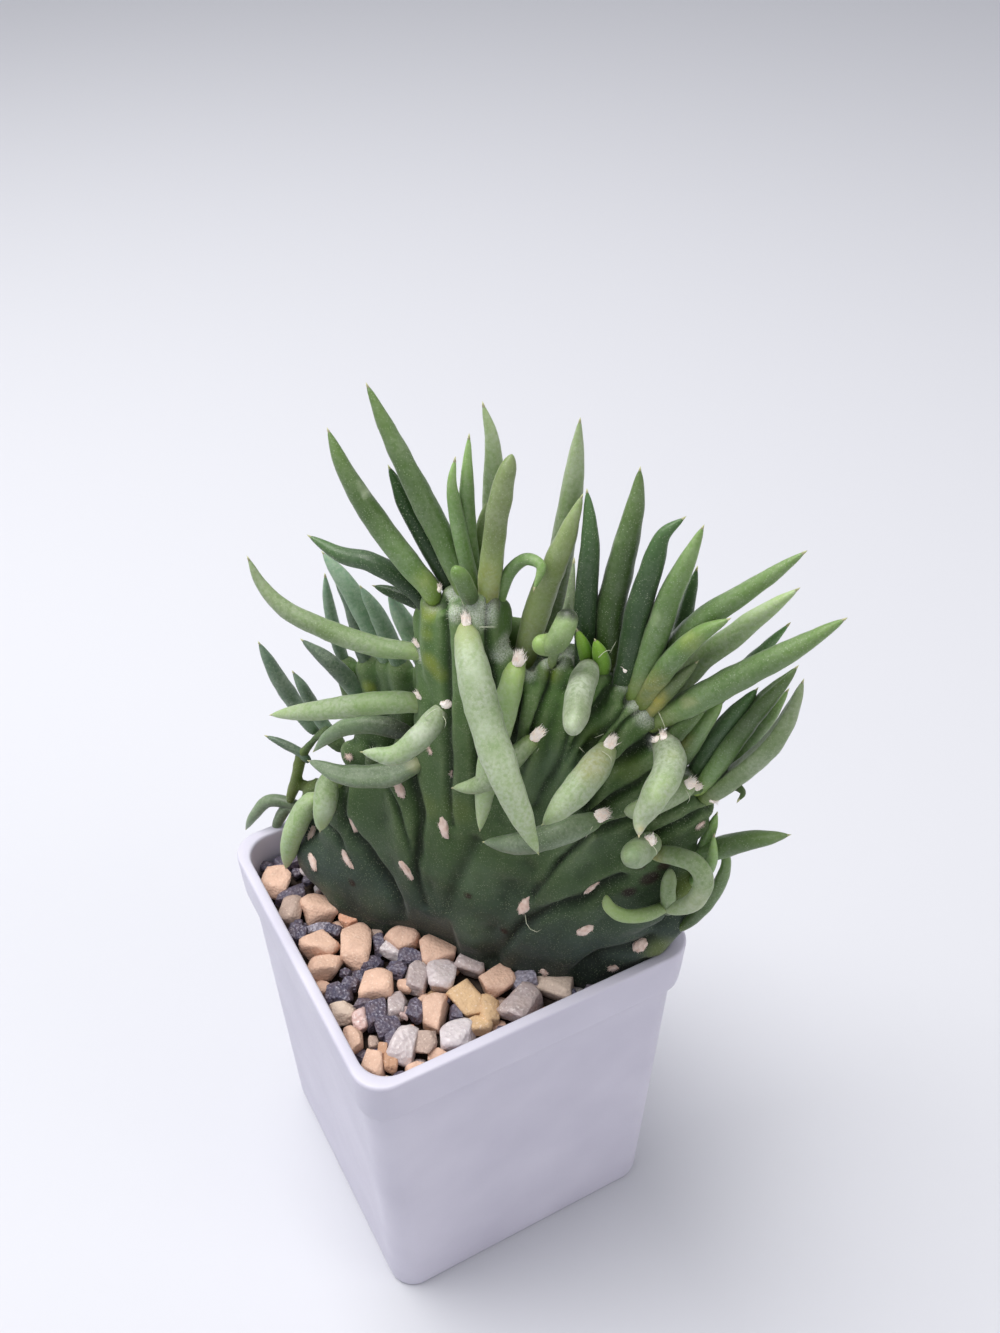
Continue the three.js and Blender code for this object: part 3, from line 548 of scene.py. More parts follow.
# %% The rest of the stones
strewn_kinds = ["beige"] * 8 + ["slate"] * 7
strewn_kinds += ["quartz", "quartz_smoky", "beige_pale", "peach", "yellow", "beige_grey"]
# A layer's height, half the size of its largest stone, and how often a place is tried
strewn_layers = [(stone_middle, 3.6, 900), (stone_middle - 0.9, 2.6, 1500), (73.9, 2.6, 900)]
smallest = 1.4
strew = make_random(905)
for layer_height, largest, tries in strewn_layers:
    reach = inside_half(layer_height)
    for _ in range(tries):
        size = smallest + (largest - smallest) * strew()
        x, y = ((2 * strew() - 1) * (reach - size) for _ in range(2))
        kind = strewn_kinds[int(strew() * len(strewn_kinds))]
        centre = Vector((x, y, layer_height - strew() * 0.5))
        shape = (size, size * (0.7 + 0.25 * strew()), size * (0.6 + 0.2 * strew()))
        turn = strew() * math.pi
        if all((centre - other).length > 0.8 * (size + half) for other, half in placed):
            add_stone(kind, centre, shape, turn, 2)
print(len(placed), "stones in all")

# %% [markdown]
# Washed stones are matt and dusty where they have dried. Beige ones are a fine-grained feldspar with
# warm specks, slate splits into thin dark layers with a faint sheen, and quartz is milky, lets light
# in, and shines where it broke. Each stone has its own tint, kept in an attribute of its mesh.

# %% Stone finishes
def stone_finish(name, roughness, dark, grain_mm, speck, bump_mm, milky=0.0):
    """Cloudy, flecked and grainy stone. Milky stone lets light in."""
    material, tree, shader, millimetres = new_finish(name, {
        "IOR": 1.54, "Subsurface Weight": milky, "Subsurface Radius": (0.0022, 0.002, 0.002),
        "Subsurface Scale": 1.0})
    skin = add_node(tree, "ShaderNodeAttribute", attribute_name="skin").outputs["Color"]
    clouds = add_node(tree, "ShaderNodeTexNoise", {
        "Vector": millimetres, "Scale": 0.45, "Detail": 5, "Roughness": 0.6})
    grains = add_node(tree, "ShaderNodeTexVoronoi", {"Vector": millimetres, "Scale": 1 / grain_mm})
    specks = add_node(tree, "ShaderNodeTexNoise", {"Vector": millimetres, "Scale": 2.2, "Detail": 3})
    cloud = "#a79ba6" if milky else "#7c6156"
    mottled = tint(tree, spread(tree, clouds.outputs[0], 0.35, 0.7, 0, dark), skin, cloud)
    flecked = tint(tree, spread(tree, specks.outputs[0], 0.6, 0.68, 0, 0.5), mottled, speck)
    tree.links.new(flecked, shader.inputs["Base Color"])
    tree.links.new(spread(tree, clouds.outputs[0], 0.3, 0.7, roughness - 0.08, roughness + 0.08),
                   shader.inputs["Roughness"])
    height = add_node(tree, "ShaderNodeMath", {0: grains.outputs[0], 1: clouds.outputs[0]}, operation="ADD")
    bump = add_node(tree, "ShaderNodeBump", {
        "Height": height.outputs[0], "Strength": 0.7, "Distance": bump_mm * METRE})
    tree.links.new(bump.outputs["Normal"], shader.inputs["Normal"])
    return material


feldspar = stone_finish("washed_feldspar", 0.72, 0.25, 0.55, "#f2dccb", bump_mm=0.2)
slate = stone_finish("split_slate", 0.42, 0.35, 0.7, "#b5b0c6", bump_mm=0.5)
quartz = stone_finish("milky_quartz", 0.38, 0.30, 0.9, "#fbf4f2", milky=0.35, bump_mm=0.3)
stone_material = {"beige_pebbles": feldspar, "slate_chips": slate, "quartz_pebbles": quartz}
gravel_pieces = [finish_piece(name, bm, stone_material[name], smooth=name != "slate_chips")
                 for name, bm in stone_bms.items()]

# %% Dark bed under the stones
bed_levels = [(inside_half(soil_top) - 0.4, soil_top + 0.3), (inside_half(72) - 0.4, 72.2),
              (inside_half(73) - 0.4, 73.0)]
bed_bm = rounded_square_loft(bed_levels, 4)
bmesh.ops.subdivide_edges(bed_bm, edges=bed_bm.edges[:], cuts=3, use_grid_fill=True)
for vert in bed_bm.verts:
    if vert.co.z > 72.5:
        vert.co.z += 0.5 * noise.noise(Vector(vert.co) * 0.6)
gravel_bed = finish_piece("gravel_bed", bed_bm, peat)
for piece in gravel_pieces + [gravel_bed]:
    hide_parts("gravel")

# %% [markdown]
# ## Where the leaves and knobs are
#
# Every leaf that shows was traced in the photograph from root to tip. A row gives its width in
# millimetres, its finish, and its points: a pixel across, a pixel down, and how many millimetres
# that point stands in front of the fan's middle plane. A smooth path through the points, as even as
# a bent wire, is the leaf's middle line.

# %% Leaves that show
pointed_leaves = {
    "crown_outer": (4.1, "fresh", (431, 591, 1), (410, 565, 1), (376, 520, 0), (345, 470, -1),
        (328, 430, -3)),
    "crown_tallest": (4.1, "fresh", (466, 594, 0), (443, 540, -1), (413, 480, -2), (388, 430, -4),
        (367, 385, -6)),
    "crown_dark": (3.7, "deep", (452, 588, -2), (432, 548, -2), (408, 508, -3), (389, 467, -4)),
    "crown_low": (3.5, "deep", (425, 602, -1), (400, 578, -1), (370, 562, -1), (340, 554, -2),
        (309, 536, -3)),
    "crown_low_short": (2.7, "deep", (424, 606, -2), (395, 593, -3), (374, 586, -3)),
    "crown_slim_bright": (2.7, "fresh", (474, 594, 0), (465, 555, 0), (456, 512, -1), (452, 482, -1),
        (455, 459, -2)),
    "crown_slim_dark": (2.8, "fresh", (478, 594, -2), (470, 550, -2), (467, 510, -3), (467, 475, -3),
        (469, 436, -5)),
    "crown_behind": (3.6, "pale", (493, 590, -5), (493, 500, -7), (492, 440, -8), (483, 404, -9)),
    "crown_sliver": (2.6, "olive", (482, 590, -4), (482, 530, -5), (490, 497, -6)),
    "crown_hook": (2.3, "fresh", (500, 597, -1), (511, 570, 0), (528, 559, 1), (541, 566, 2),
        (534, 590, 4)),
    "middle_broad": (4.6, "sunlit", (525, 656, -2), (540, 600, -1), (562, 545, -1), (582, 496, -3)),
    "middle_tallest": (4.5, "pale", (548, 640, -5), (558, 570, -6), (571, 495, -7), (580, 420, -9)),
    "middle_dark": (4.3, "deep", (583, 660, 0), (584, 600, -1), (589, 540, -2), (587, 491, -4)),
    "middle_straight": (4.8, "fresh", (605, 662, -1), (611, 605, -2), (624, 550, -3), (636, 500, -5),
        (640, 469, -6)),
    "middle_bent_tip": (4.4, "deep", (624, 675, 1), (638, 610, 0), (652, 565, -1), (663, 535, -2),
        (684, 518, -3)),
    "middle_right": (4.4, "fresh", (635, 690, 1), (654, 640, 1), (668, 600, 0), (687, 560, -1),
        (703, 527, -2)),
    "middle_pale": (3.2, "deep", (664, 690, -5), (682, 625, -6), (697, 568, -7)),
    "middle_curl_tip": (1.9, "pale", (553, 658, 2), (561, 630, 4), (569, 603, 5), (574, 560, 3)),
    "bud_left": (2.6, "bud", (588, 664, 1), (584, 648, 3), (577, 630, 4)),
    "bud_right": (3.0, "bud", (602, 667, 1), (600, 655, 3), (595, 640, 4)),
    "right_upper": (4.1, "fresh", (644, 696, -2), (672, 650, -1), (705, 618, 0), (750, 589, -1),
        (805, 552, -2)),
    "right_pale": (4.2, "pale", (664, 702, -3), (700, 660, -4), (730, 638, -4), (760, 615, -5),
        (798, 589, -6)),
    "right_yellow": (3.9, "fresh", (646, 697, 2), (670, 662, 3), (700, 634, 3), (729, 619, 3)),
    "right_bud": (2.9, "olive", (650, 709, 2), (672, 686, 3), (697, 662, 2)),
    "right_longest": (4.6, "fresh", (656, 722, 1), (700, 697, 3), (750, 671, 3), (800, 645, 2),
        (845, 619, 1)),
    "right_peeping": (2.8, "deep", (690, 728, -4), (735, 678, -5), (765, 648, -5), (789, 624, -6)),
    "right_short": (3.3, "fresh", (666, 742, 1), (685, 724, 3), (705, 709, 3)),
    "right_tucked": (3.8, "fresh", (678, 760, 0), (700, 728, 1), (722, 701, 1)),
    "right_green": (4.2, "deep", (690, 780, -2), (722, 730, -1), (757, 689, -2)),
    "right_dark": (4.4, "fresh", (700, 784, 0), (730, 742, 0), (762, 703, -1), (785, 680, -1),
        (797, 667, -2)),
    "right_dark_behind": (3.6, "fresh", (708, 790, -3), (745, 745, -4), (770, 715, -4), (788, 690, -5)),
    "right_bowed": (4.2, "pale", (708, 794, 0), (745, 767, 1), (772, 742, 1), (790, 712, 0),
        (803, 681, -1)),
    "right_hook": (1.9, "fresh", (710, 797, -1), (735, 786, 0), (743, 793, 1), (738, 801, 2)),
    "low_level": (4.1, "fresh", (692, 856, -1), (745, 841, 1), (789, 835, 1)),
    "low_pointed": (2.5, "fresh", (694, 860, -1), (709, 834, -1), (717, 813, -1)),
    "low_long": (2.8, "fresh", (680, 926, 0), (712, 896, 0), (726, 862, 0), (720, 840, 0)),
    "low_upright": (2.5, "fresh", (694, 880, 1), (711, 862, 3), (714, 835, 2)),
    "face_giant": (5.8, "frosted", (467, 626, 5), (472, 664, 11), (487, 725, 16), (508, 785, 21),
        (538, 853, 24)),
    "face_behind_giant": (4.4, "pale", (517, 666, 4), (503, 715, 9), (488, 770, 12), (480, 830, 14)),
    "face_tucked": (3.9, "pale", (532, 740, 8), (505, 765, 12), (478, 785, 13), (453, 788, 13)),
    "face_middle": (5.5, "frosted", (607, 748, 7), (583, 782, 14), (560, 808, 18), (543, 824, 20)),
    "face_lying": (4.8, "grey", (596, 818, 9), (560, 832, 15), (520, 843, 16), (484, 842, 15)),
    "face_right": (5.3, "frosted", (664, 740, 3), (670, 765, 9), (655, 795, 15), (641, 820, 18),
        (639, 836, 20)),
    "face_horn": (4.3, "frosted", (444, 706, 4), (420, 737, 11), (395, 755, 14), (362, 752, 15)),
    "left_top": (3.7, "pale", (426, 655, 1), (380, 647, 2), (330, 631, 3), (285, 609, 3), (262, 585, 2),
        (248, 558, 1)),
    "left_middle": (4.2, "pale", (422, 705, 1), (380, 703, 4), (330, 709, 5), (271, 715, 4)),
    "left_arched": (3.7, "grey", (412, 738, 0), (380, 725, 0), (350, 726, 1), (328, 737, 2),
        (314, 751, 3)),
    "left_boat": (4.4, "grey", (422, 762, 4), (385, 775, 7), (345, 775, 8), (309, 761, 7)),
    "left_hanging": (4.6, "pale", (330, 782, 0), (325, 805, 4), (320, 831, 6)),
    "left_lowest": (4.7, "pale", (314, 800, -2), (294, 830, 1), (286, 868, 2)),
    "back_left_pale": (4.2, "dusky_shade", (386, 655, -7), (352, 592, -7), (323, 553, -8)),
    "back_left_thin": (2.5, "dusky_shade", (342, 655, -10), (329, 605, -9), (325, 575, -9)),
    "back_left_dark": (2.8, "dusky_shade", (364, 656, -8), (350, 606, -7), (336, 583, -7)),
    "back_left_grey": (3.4, "dusky_shade", (397, 658, -5), (376, 612, -5), (361, 587, -5)),
    "back_left_broad": (3.9, "dusky_shade", (424, 660, -4), (402, 618, -4), (389, 594, -4)),
    "back_left_low": (3.5, "dusky_shade", (366, 702, -7), (333, 665, -6), (302, 640, -6)),
    "back_left_far": (3.4, "dusky_shade", (308, 722, -11), (281, 682, -10), (259, 643, -10)),
    "back_left_far_short": (2.8, "dusky_shade", (322, 722, -10), (303, 688, -9), (293, 672, -9)),
    "shoot_thin": (1.9, "dusky_shade", (299, 752, -8), (282, 743, -8), (266, 736, -8)),
    "shoot_hook": (2.7, "grey", (292, 804, -8), (268, 801, -8), (254, 815, -7), (246, 829, -7)),
    "shoot_end": (2.6, "grey", (290, 806, -8), (278, 821, -8), (275, 838, -8)),
}
blunt_leaves = {
    "crown_blunt": (3.9, "sunlit", (488, 594, 1), (491, 560, 1), (496, 520, 0), (503, 485, -2),
        (512, 454, -4)),
    "crown_stub": (2.9, "fresh", (471, 598, 3), (463, 580, 5), (454, 567, 6)),
    "middle_curl": (3.8, "green_curl", (569, 611, 7), (564, 628, 9), (556, 642, 10), (546, 645, 10),
        (534, 641, 11)),
    "low_curl": (3.5, "pale", (654, 852, 4), (674, 856, 6), (695, 864, 7), (704, 878, 8), (700, 894, 9),
        (688, 905, 9), (666, 912, 9)),
    "low_ring": (2.7, "olive", (664, 905, 4), (646, 914, 8), (623, 915, 10), (609, 906, 10),
        (606, 895, 9)),
    "low_stub": (3.0, "pale", (668, 908, 3), (668, 890, 5), (670, 869, 4)),
    "face_blunt": (4.5, "frosted", (588, 668, 4), (580, 692, 13), (572, 734, 22)),
    "face_right_behind": (4.2, "pale", (686, 786, 2), (660, 800, 8), (640, 809, 10), (624, 812, 11)),
    "face_nose": (4.9, "pale", (649, 842, 5), (639, 851, 12), (629, 858, 18)),
}
print(len(pointed_leaves), "pointed leaves and", len(blunt_leaves), "blunt ones")

# %% Knobs that show
# A pixel across and down, and millimetres in front of the fan's middle plane
crest_knobs = [
    (432, 598, 1), (454, 585, 0), (470, 594, 0), (486, 591, 2), (502, 599, -1), (505, 648, 3),
    (520, 662, -3), (548, 661, 2), (566, 656, 1), (572, 645, -3), (584, 660, 0), (602, 665, 0),
    (624, 675, 1), (636, 690, 2), (645, 701, 0), (655, 718, 2), (668, 738, 1), (680, 756, 0),
    (690, 770, 0), (700, 779, 1), (712, 795, 0), (706, 815, -1), (698, 836, -1), (694, 858, -1),
    (690, 884, -1), (682, 922, 0), (431, 656, 1), (427, 706, 1), (360, 741, -4), (344, 743, -4),
    (408, 732, 0), (372, 748, -1), (330, 780, -1), (312, 802, -2), (302, 832, -2),
]
face_knobs = [
    (466, 622, 5), (451, 604, 4), (481, 609, 4), (517, 667, 4), (534, 690, 5), (532, 740, 8),
    (590, 664, 4), (607, 748, 7), (628, 704, 4), (657, 744, 4), (596, 818, 9), (664, 741, 3),
    (686, 786, 2), (652, 839, 4), (444, 707, 4), (424, 762, 4),
]
low_knobs = [
    (398, 790, 7), (352, 824, 3), (444, 832, 9), (405, 876, 8), (346, 860, 3), (316, 860, 1),
    (312, 834, -1), (342, 882, 2), (470, 900, 10), (524, 910, 10), (590, 892, 9), (584, 932, 8),
    (640, 945, 4), (664, 930, 2), (560, 868, 10),
]
back_left_knobs = [
    (386, 658, -8), (364, 658, -9), (342, 658, -11), (366, 702, -8), (350, 750, -5),
]
# Furrows of the stem: depth and half width in millimetres, then pixels from the crest downwards
furrows_seen = {
    "left_of_crown": (1.4, 0.9, (443, 602), (444, 620), (446, 652), (447, 690), (447, 732), (448, 768),
        (448, 800), (452, 826)),
    "crown_first": (1.4, 0.9, (461, 602), (463, 610), (468, 640), (474, 700), (478, 760), (477, 812)),
    "crown_second": (1.6, 1.0, (489, 600), (489, 630), (490, 655), (494, 700), (497, 740)),
    "dip_right": (1.8, 1.0, (523, 655), (523, 672), (519, 692), (515, 714), (511, 738), (508, 760)),
    "knob_right": (1.7, 0.9, (557, 652), (553, 664), (550, 675), (547, 688), (543, 706), (537, 722),
        (532, 737), (526, 755), (519, 775)),
    "behind_blunt": (1.2, 1.0, (577, 656), (578, 676), (574, 700), (570, 722), (565, 745), (558, 766),
        (543, 791), (535, 806)),
    "beside_blunt": (1.2, 0.75, (594, 660), (598, 672), (597, 686), (591, 704), (583, 722)),
    "shaded_first": (1.5, 0.8, (619, 667), (615, 675), (610, 686), (603, 697), (598, 705), (591, 718),
        (583, 732), (574, 747), (564, 764)),
    "shaded_second": (1.4, 0.75, (639, 682), (634, 691), (628, 698), (622, 708), (614, 719), (605, 727),
        (594, 738), (583, 752), (573, 768)),
    "right_first": (1.4, 0.75, (650, 702), (643, 710), (634, 716), (627, 721), (620, 728), (614, 736),
        (608, 744), (599, 756), (588, 772), (575, 792)),
    "right_trench": (2.3, 1.4, (671, 727), (661, 735), (648, 744), (638, 751), (627, 759), (617, 766),
        (611, 773), (605, 783), (598, 795), (588, 808), (576, 822)),
    "right_second": (1.5, 0.9, (682, 752), (668, 763), (652, 776), (638, 785), (628, 790), (617, 796),
        (606, 804), (598, 812), (586, 822), (572, 834)),
    "right_third": (1.8, 0.9, (706, 796), (690, 803), (672, 809), (652, 815), (631, 821), (615, 826),
        (600, 832), (586, 839), (575, 848), (564, 857), (554, 867), (544, 880), (536, 888), (531, 895)),
    "right_fourth": (1.5, 1.0, (718, 806), (706, 812), (690, 820), (672, 828), (655, 838), (640, 848),
        (622, 858)),
    "low_trench": (1.8, 1.6, (622, 880), (610, 884), (600, 889), (590, 897), (578, 902), (564, 906),
        (550, 911), (539, 915), (527, 922), (516, 931), (507, 941), (499, 951), (493, 961)),
    "rim_furrow": (1.4, 1.4, (652, 938), (640, 944), (627, 949), (614, 952), (600, 955), (586, 961),
        (577, 969)),
    "left_trench": (1.5, 1.2, (412, 764), (412, 782), (417, 799), (420, 813), (420, 826), (418, 840),
        (417, 853), (415, 866), (417, 880), (420, 892), (425, 906)),
    "left_second": (1.1, 0.8, (378, 768), (386, 786), (393, 802), (399, 818), (403, 830), (408, 844),
        (412, 858)),
    "left_third": (1.8, 1.8, (344, 822), (354, 838), (364, 849), (372, 861), (381, 872), (389, 883),
        (395, 895), (400, 908), (403, 920)),
    "left_fourth": (1.4, 1.1, (316, 812), (326, 827), (336, 837), (342, 848)),
    "left_fifth": (1.4, 1.1, (346, 784), (343, 799), (342, 816), (344, 828)),
    "below_pad": (0.9, 2.0, (474, 842), (468, 856), (459, 874), (451, 892), (446, 910)),
}
# Broad ribs close under the crown: half a width in millimetres, then points like a leaf's
broad_ribs = {
    "left_edge": (2.3, (447, 712, 2.0), (440, 682, 3.2), (434, 652, 3.6), (432, 624, 3.2),
        (432, 604, 1.8)),
    "second": (1.7, (454, 700, 1.6), (452, 655, 2.0), (451, 625, 2.0), (451, 602, 1.4)),
    "under_blunt": (2.1, (497, 650, 1.0), (493, 626, 1.8), (487, 604, 1.4)),
}
side_shoot = [
    (346, 752, -9), (322, 729, -9), (306, 735, -9), (301, 757, -8), (296, 780, -8), (288, 806, -8),
]
crest_outline = [
    (302, 832, -2), (312, 802, -2), (330, 780, -1), (372, 748, -1), (408, 732, 0), (420, 706, 1),
    (420, 656, 0), (432, 594, 1), (470, 594, 0), (501, 604, -1), (520, 662, -3), (566, 656, 1),
    (602, 665, 0), (645, 701, 0), (680, 756, 0), (712, 795, 0), (706, 815, -1), (690, 884, -1),
]
print(len(furrows_seen), "furrows traced")


# %% A smooth path through a few points
def trace(points, steps=24):
    """Many close points on the smoothest even path through a few, with the length up to each."""
    ends = [points[0] * 2 - points[1], *points, points[-1] * 2 - points[-2]]
    path = []
    for before, start, end, after in zip(ends, ends[1:], ends[2:], ends[3:]):
        early, gap, late = (max((b - a).length ** 0.5, 1e-4)
                            for a, b in ((before, start), (start, end), (end, after)))
        leave = ((start - before) / early - (end - before) / (early + gap) + (end - start) / gap) * gap
        arrive = ((end - start) / gap - (after - start) / (gap + late) + (after - end) / late) * gap
        for step in range(steps):
            t = step / steps
            path.append(start * (2 * t ** 3 - 3 * t ** 2 + 1) + leave * (t ** 3 - 2 * t ** 2 + t)
                        + end * (3 * t ** 2 - 2 * t ** 3) + arrive * (t ** 3 - t ** 2))
    path.append(points[-1].copy())
    lengths = [0.0]
    for start, end in zip(path, path[1:]):
        lengths.append(lengths[-1] + (end - start).length)
    return path, lengths


def along_path(traced, share):
    """The place and the direction at a share of a path's length."""
    path, lengths = traced
    target = clamp(share) * lengths[-1]
    low, high = 0, len(lengths) - 2
    while low < high:
        middle = (low + high + 1) // 2
        low, high = (middle, high) if lengths[middle] <= target else (low, middle - 1)
    part = (target - lengths[low]) / max(lengths[low + 1] - lengths[low], 1e-9)
    return path[low].lerp(path[low + 1], part), (path[low + 1] - path[low]).normalized()


# %% A ball drawn out along a path
balls = {}


def ball(sides, rings):
    """A round ball to draw out, made once for each number of sides and rings."""
    if (sides, rings) not in balls:
        bm = bmesh.new()
        bmesh.ops.create_uvsphere(bm, u_segments=sides, v_segments=rings, radius=1)
        balls[sides, rings] = bpy.data.meshes.new(f"ball_{sides}_{rings}")
        bm.to_mesh(balls[sides, rings])
        bm.free()
    return balls[sides, rings]


def draw_limb(bm, traced, stations, sides, above=None, channel=0.0, flatten=0.0):
    """Adds a ball whose rings go to stations of (share of the path, radius), and returns its skin.

    The side that faces the direction above can be flattened, or hollowed to a channel.
    """
    rings = len(stations) - 1
    first = len(bm.verts)
    bm.from_mesh(ball(sides, rings))
    bm.verts.ensure_lookup_table()
    skin = bm.verts[first:]
    sideways = above.copy() if above else Vector((0.31, 0.17, 0.93))
    hoops = []
    for share, radius in stations:
        place, direction = along_path(traced, share)
        sideways = (sideways - direction * sideways.dot(direction)).normalized()
        hoops.append((place, radius, sideways, direction.cross(sideways)))
    drawn = []
    for vert in skin:
        ring = round(math.acos(clamp(vert.co.z, -1, 1)) / math.pi * rings)
        place, radius, toward, beside = hoops[ring]
        flat = Vector((vert.co.x, vert.co.y))
        if flat.length > 1e-6:
            flat.normalize()
        upper = max(0.0, flat.x) ** 2
        pressed = 1 - flatten * upper - channel * max(0.0, flat.x) ** 6
        vert.co = place + (toward * (flat.x * pressed) + beside * flat.y) * radius
        drawn.append((vert, stations[ring][0]))
    return drawn


# %% [markdown]
# ## The far face
#
# One photograph shows one face of the fan. The far one is made by a rule: three rows of knobs follow
# the crest, and most of those near the top bear a leaf that leans outwards and back, as the near
# ones do. A leaf that would show over the crest in the photograph hangs lower.

# %% Crest and far knobs
finger_start, stone_limit, root_sink = 78.0, 79.2, 3.0
crest_path = trace([seen_at(point) for point in crest_outline])


def from_foot(place):
    """The angle and the distance at which a place lies from the middle of the fan's foot."""
    along_fan, _, height = fan_position(place)
    return math.atan2(height - finger_start, along_fan), math.hypot(along_fan, height - finger_start)


crest_edge = [from_foot(along_path(crest_path, i / 80)[0]) for i in range(81)]
print("Crest is", round(crest_path[1][-1]), "mm long")


def is_hidden(place):
    """Whether the fan covers a place behind it from the camera."""
    ray = place - eye
    meet = eye + ray * ((fan_origin.dot(front) - eye.dot(front)) / ray.dot(front))
    angle, distance = from_foot(meet)
    return distance < min(crest_edge, key=lambda edge: abs(edge[0] - angle))[1] - 4


def far_leaf(knob, shortest, longest, random):
    """Points of a leaf that leans out and back, lowered and shortened until the fan covers it."""
    length = shortest + (longest - shortest) * random()
    droop = 0.1 + random() * 0.4
    outward = (knob - in_fan(0, 0, finger_start)).normalized()
    lean = 0.7 + random() * 0.5
    for _ in range(10):
        direction = outward - front * lean
        direction.z -= droop
        direction.normalize()
        bend, tip = knob + direction * length * 0.5, knob + direction * length
        bend.z += length * 0.06
        tip.z -= length * 0.06
        if tip.z > pot_height + 4 and is_hidden(tip) and is_hidden(bend):
            return [knob, bend, tip]
        droop += 0.16
        length *= 0.96
    return None


# %% Rows of far knobs
# Millimetres behind the crest, below it and from knob to knob, the share that bears a leaf, the
# shortest and the longest leaf, and the knob's size
far_rows = [(5, 4, 13, 0.7, 26, 34, 4.8), (9, 18, 16, 0.8, 24, 36, 5.6), (11, 34, 26, 0.3, 18, 26, 6.6)]
far_random = make_random(4417)
far_knobs = []
for behind, below, spacing, leaf_share, shortest, longest, knob_size in far_rows:
    count = math.floor(crest_path[1][-1] / spacing)
    for i in range(count):
        share = (i + 0.5 + (far_random() - 0.5) * 0.5) / count
        edge_along, edge_front, edge_height = fan_position(along_path(crest_path, share)[0])
        rise = edge_height - finger_start
        inwards = max(0.45, 1 - below / (rise + 20))
        along_fan = edge_along * inwards + (far_random() - 0.5) * 2
        height = max(stone_limit + 6, edge_height - below * min(1, rise / 50))
        knob = in_fan(along_fan, edge_front - behind, height)
        path = far_leaf(knob, shortest, longest, far_random)
        width = 3.6 + far_random() * 1.2
        bears_leaf = far_random() < leaf_share
        far_knobs.append((knob, knob_size, width, path if bears_leaf else None))
print(len(far_knobs), "far knobs,", sum(1 for row in far_knobs if row[3]), "with a leaf")

# %% [markdown]
# ## Stem
#
# A cactus stem is one swollen body with furrows, and no two fingers meet in a hard line. Joining
# separate tubes with booleans would leave sharp seams. So the core, the foot and all the fingers
# are drawn as overlapping balls and limbs, a voxel remesh wraps them in one skin, and a few rounds
# of smoothing fill the furrows as flesh does.

# %% Core of the fan and foot
foot_length, foot_thickness = 58.0, 22.0
core_middle = Vector((3, 103))
core_low_half, core_high_half, core_top = 11, 4.5, 150
stem_bm = bmesh.new()


def core_half_at(height):
    """Half the core's thickness at a height: it thins from the foot to the crest."""
    rise = clamp((height - finger_start) / (core_top - finger_start))
    return core_low_half + (core_high_half - core_low_half) * rise


core_edge = [Vector((fan_position(p)[0], fan_position(p)[2])) - core_middle
             for p in (along_path(crest_path, i / 40)[0] for i in range(41))]
core_edge += [Vector((foot_length * 0.42 * s, finger_start - 2)) - core_middle for s in (1, -1)]


def cross_flat(first, second):
    """Twice the area of the triangle between two flat vectors."""
    return first.x * second.y - first.y * second.x


def reach_outline(direction):
    """How far the core's outline lies from its middle, in a direction on the fan."""
    reach = 0.0
    for start, end in zip(core_edge, core_edge[1:] + core_edge[:1]):
        side = end - start
        turned = cross_flat(direction, side)
        if abs(turned) > 1e-9:
            reached = cross_flat(start, side) / turned
            share = cross_flat(start, direction) / turned
            if reached > 0 and 0 <= share <= 1:
                reach = max(reach, reached)
    return reach


for vert in bmesh.ops.create_uvsphere(stem_bm, u_segments=72, v_segments=36, radius=1)["verts"]:
    flat = Vector((vert.co.x, vert.co.y))
    share = flat.length
    direction = flat.normalized() if share > 1e-6 else Vector((0, 1))
    spot = direction * share * 0.9 * reach_outline(direction) + core_middle
    vert.co = in_fan(spot.x, vert.co.z * core_half_at(spot.y) * 0.92, spot.y)

foot_middle, foot_depth = 66.5, 20
collar_halves, collar_place = (38, 9.5, 14), (-2, 0, 84)
root = bmesh.ops.create_cone(stem_bm, cap_ends=True, segments=64, radius1=1, radius2=1, depth=foot_depth,
                             matrix=Matrix.Translation((0, 0, foot_middle)))["verts"]
bmesh.ops.scale(stem_bm, vec=(foot_length / 2, foot_thickness / 2, 1), verts=root)
collar = bmesh.ops.create_uvsphere(stem_bm, u_segments=64, v_segments=24, radius=1)["verts"]
bmesh.ops.scale(stem_bm, vec=collar_halves, verts=collar)
bmesh.ops.translate(stem_bm, vec=collar_place, verts=collar)
bmesh.ops.rotate(stem_bm, matrix=Matrix.Rotation(fan_turn, 3, "Z"), verts=root + collar)
bmesh.ops.translate(stem_bm, vec=fan_origin, verts=root + collar)
print("Core, foot and collar have", len(stem_bm.verts), "points")

# %% Fingers
finger_half = 3.8


def finger_stations(length, start_half, knob_half):
    """Radii from a tapered start, over a slightly swollen body, to a round knob."""
    body_start, body_end = 0.4 * start_half / length, 1 - knob_half * 1.1 / length
    stations = [(0, 0), (body_start * 0.3, start_half * 0.6)]
    for step in range(8):
        share = step / 7
        swell = 1 + 0.06 * math.sin(math.pi * share) ** 2
        stations.append((body_start + (body_end - body_start) * share,
                         (start_half + (knob_half - start_half) * share ** 0.7) * swell))
    for angle in (25, 50, 70, 90):
        rounded = math.radians(angle)
        stations.append((body_end + (1 - body_end) * math.sin(rounded), knob_half * math.cos(rounded)))
    return stations


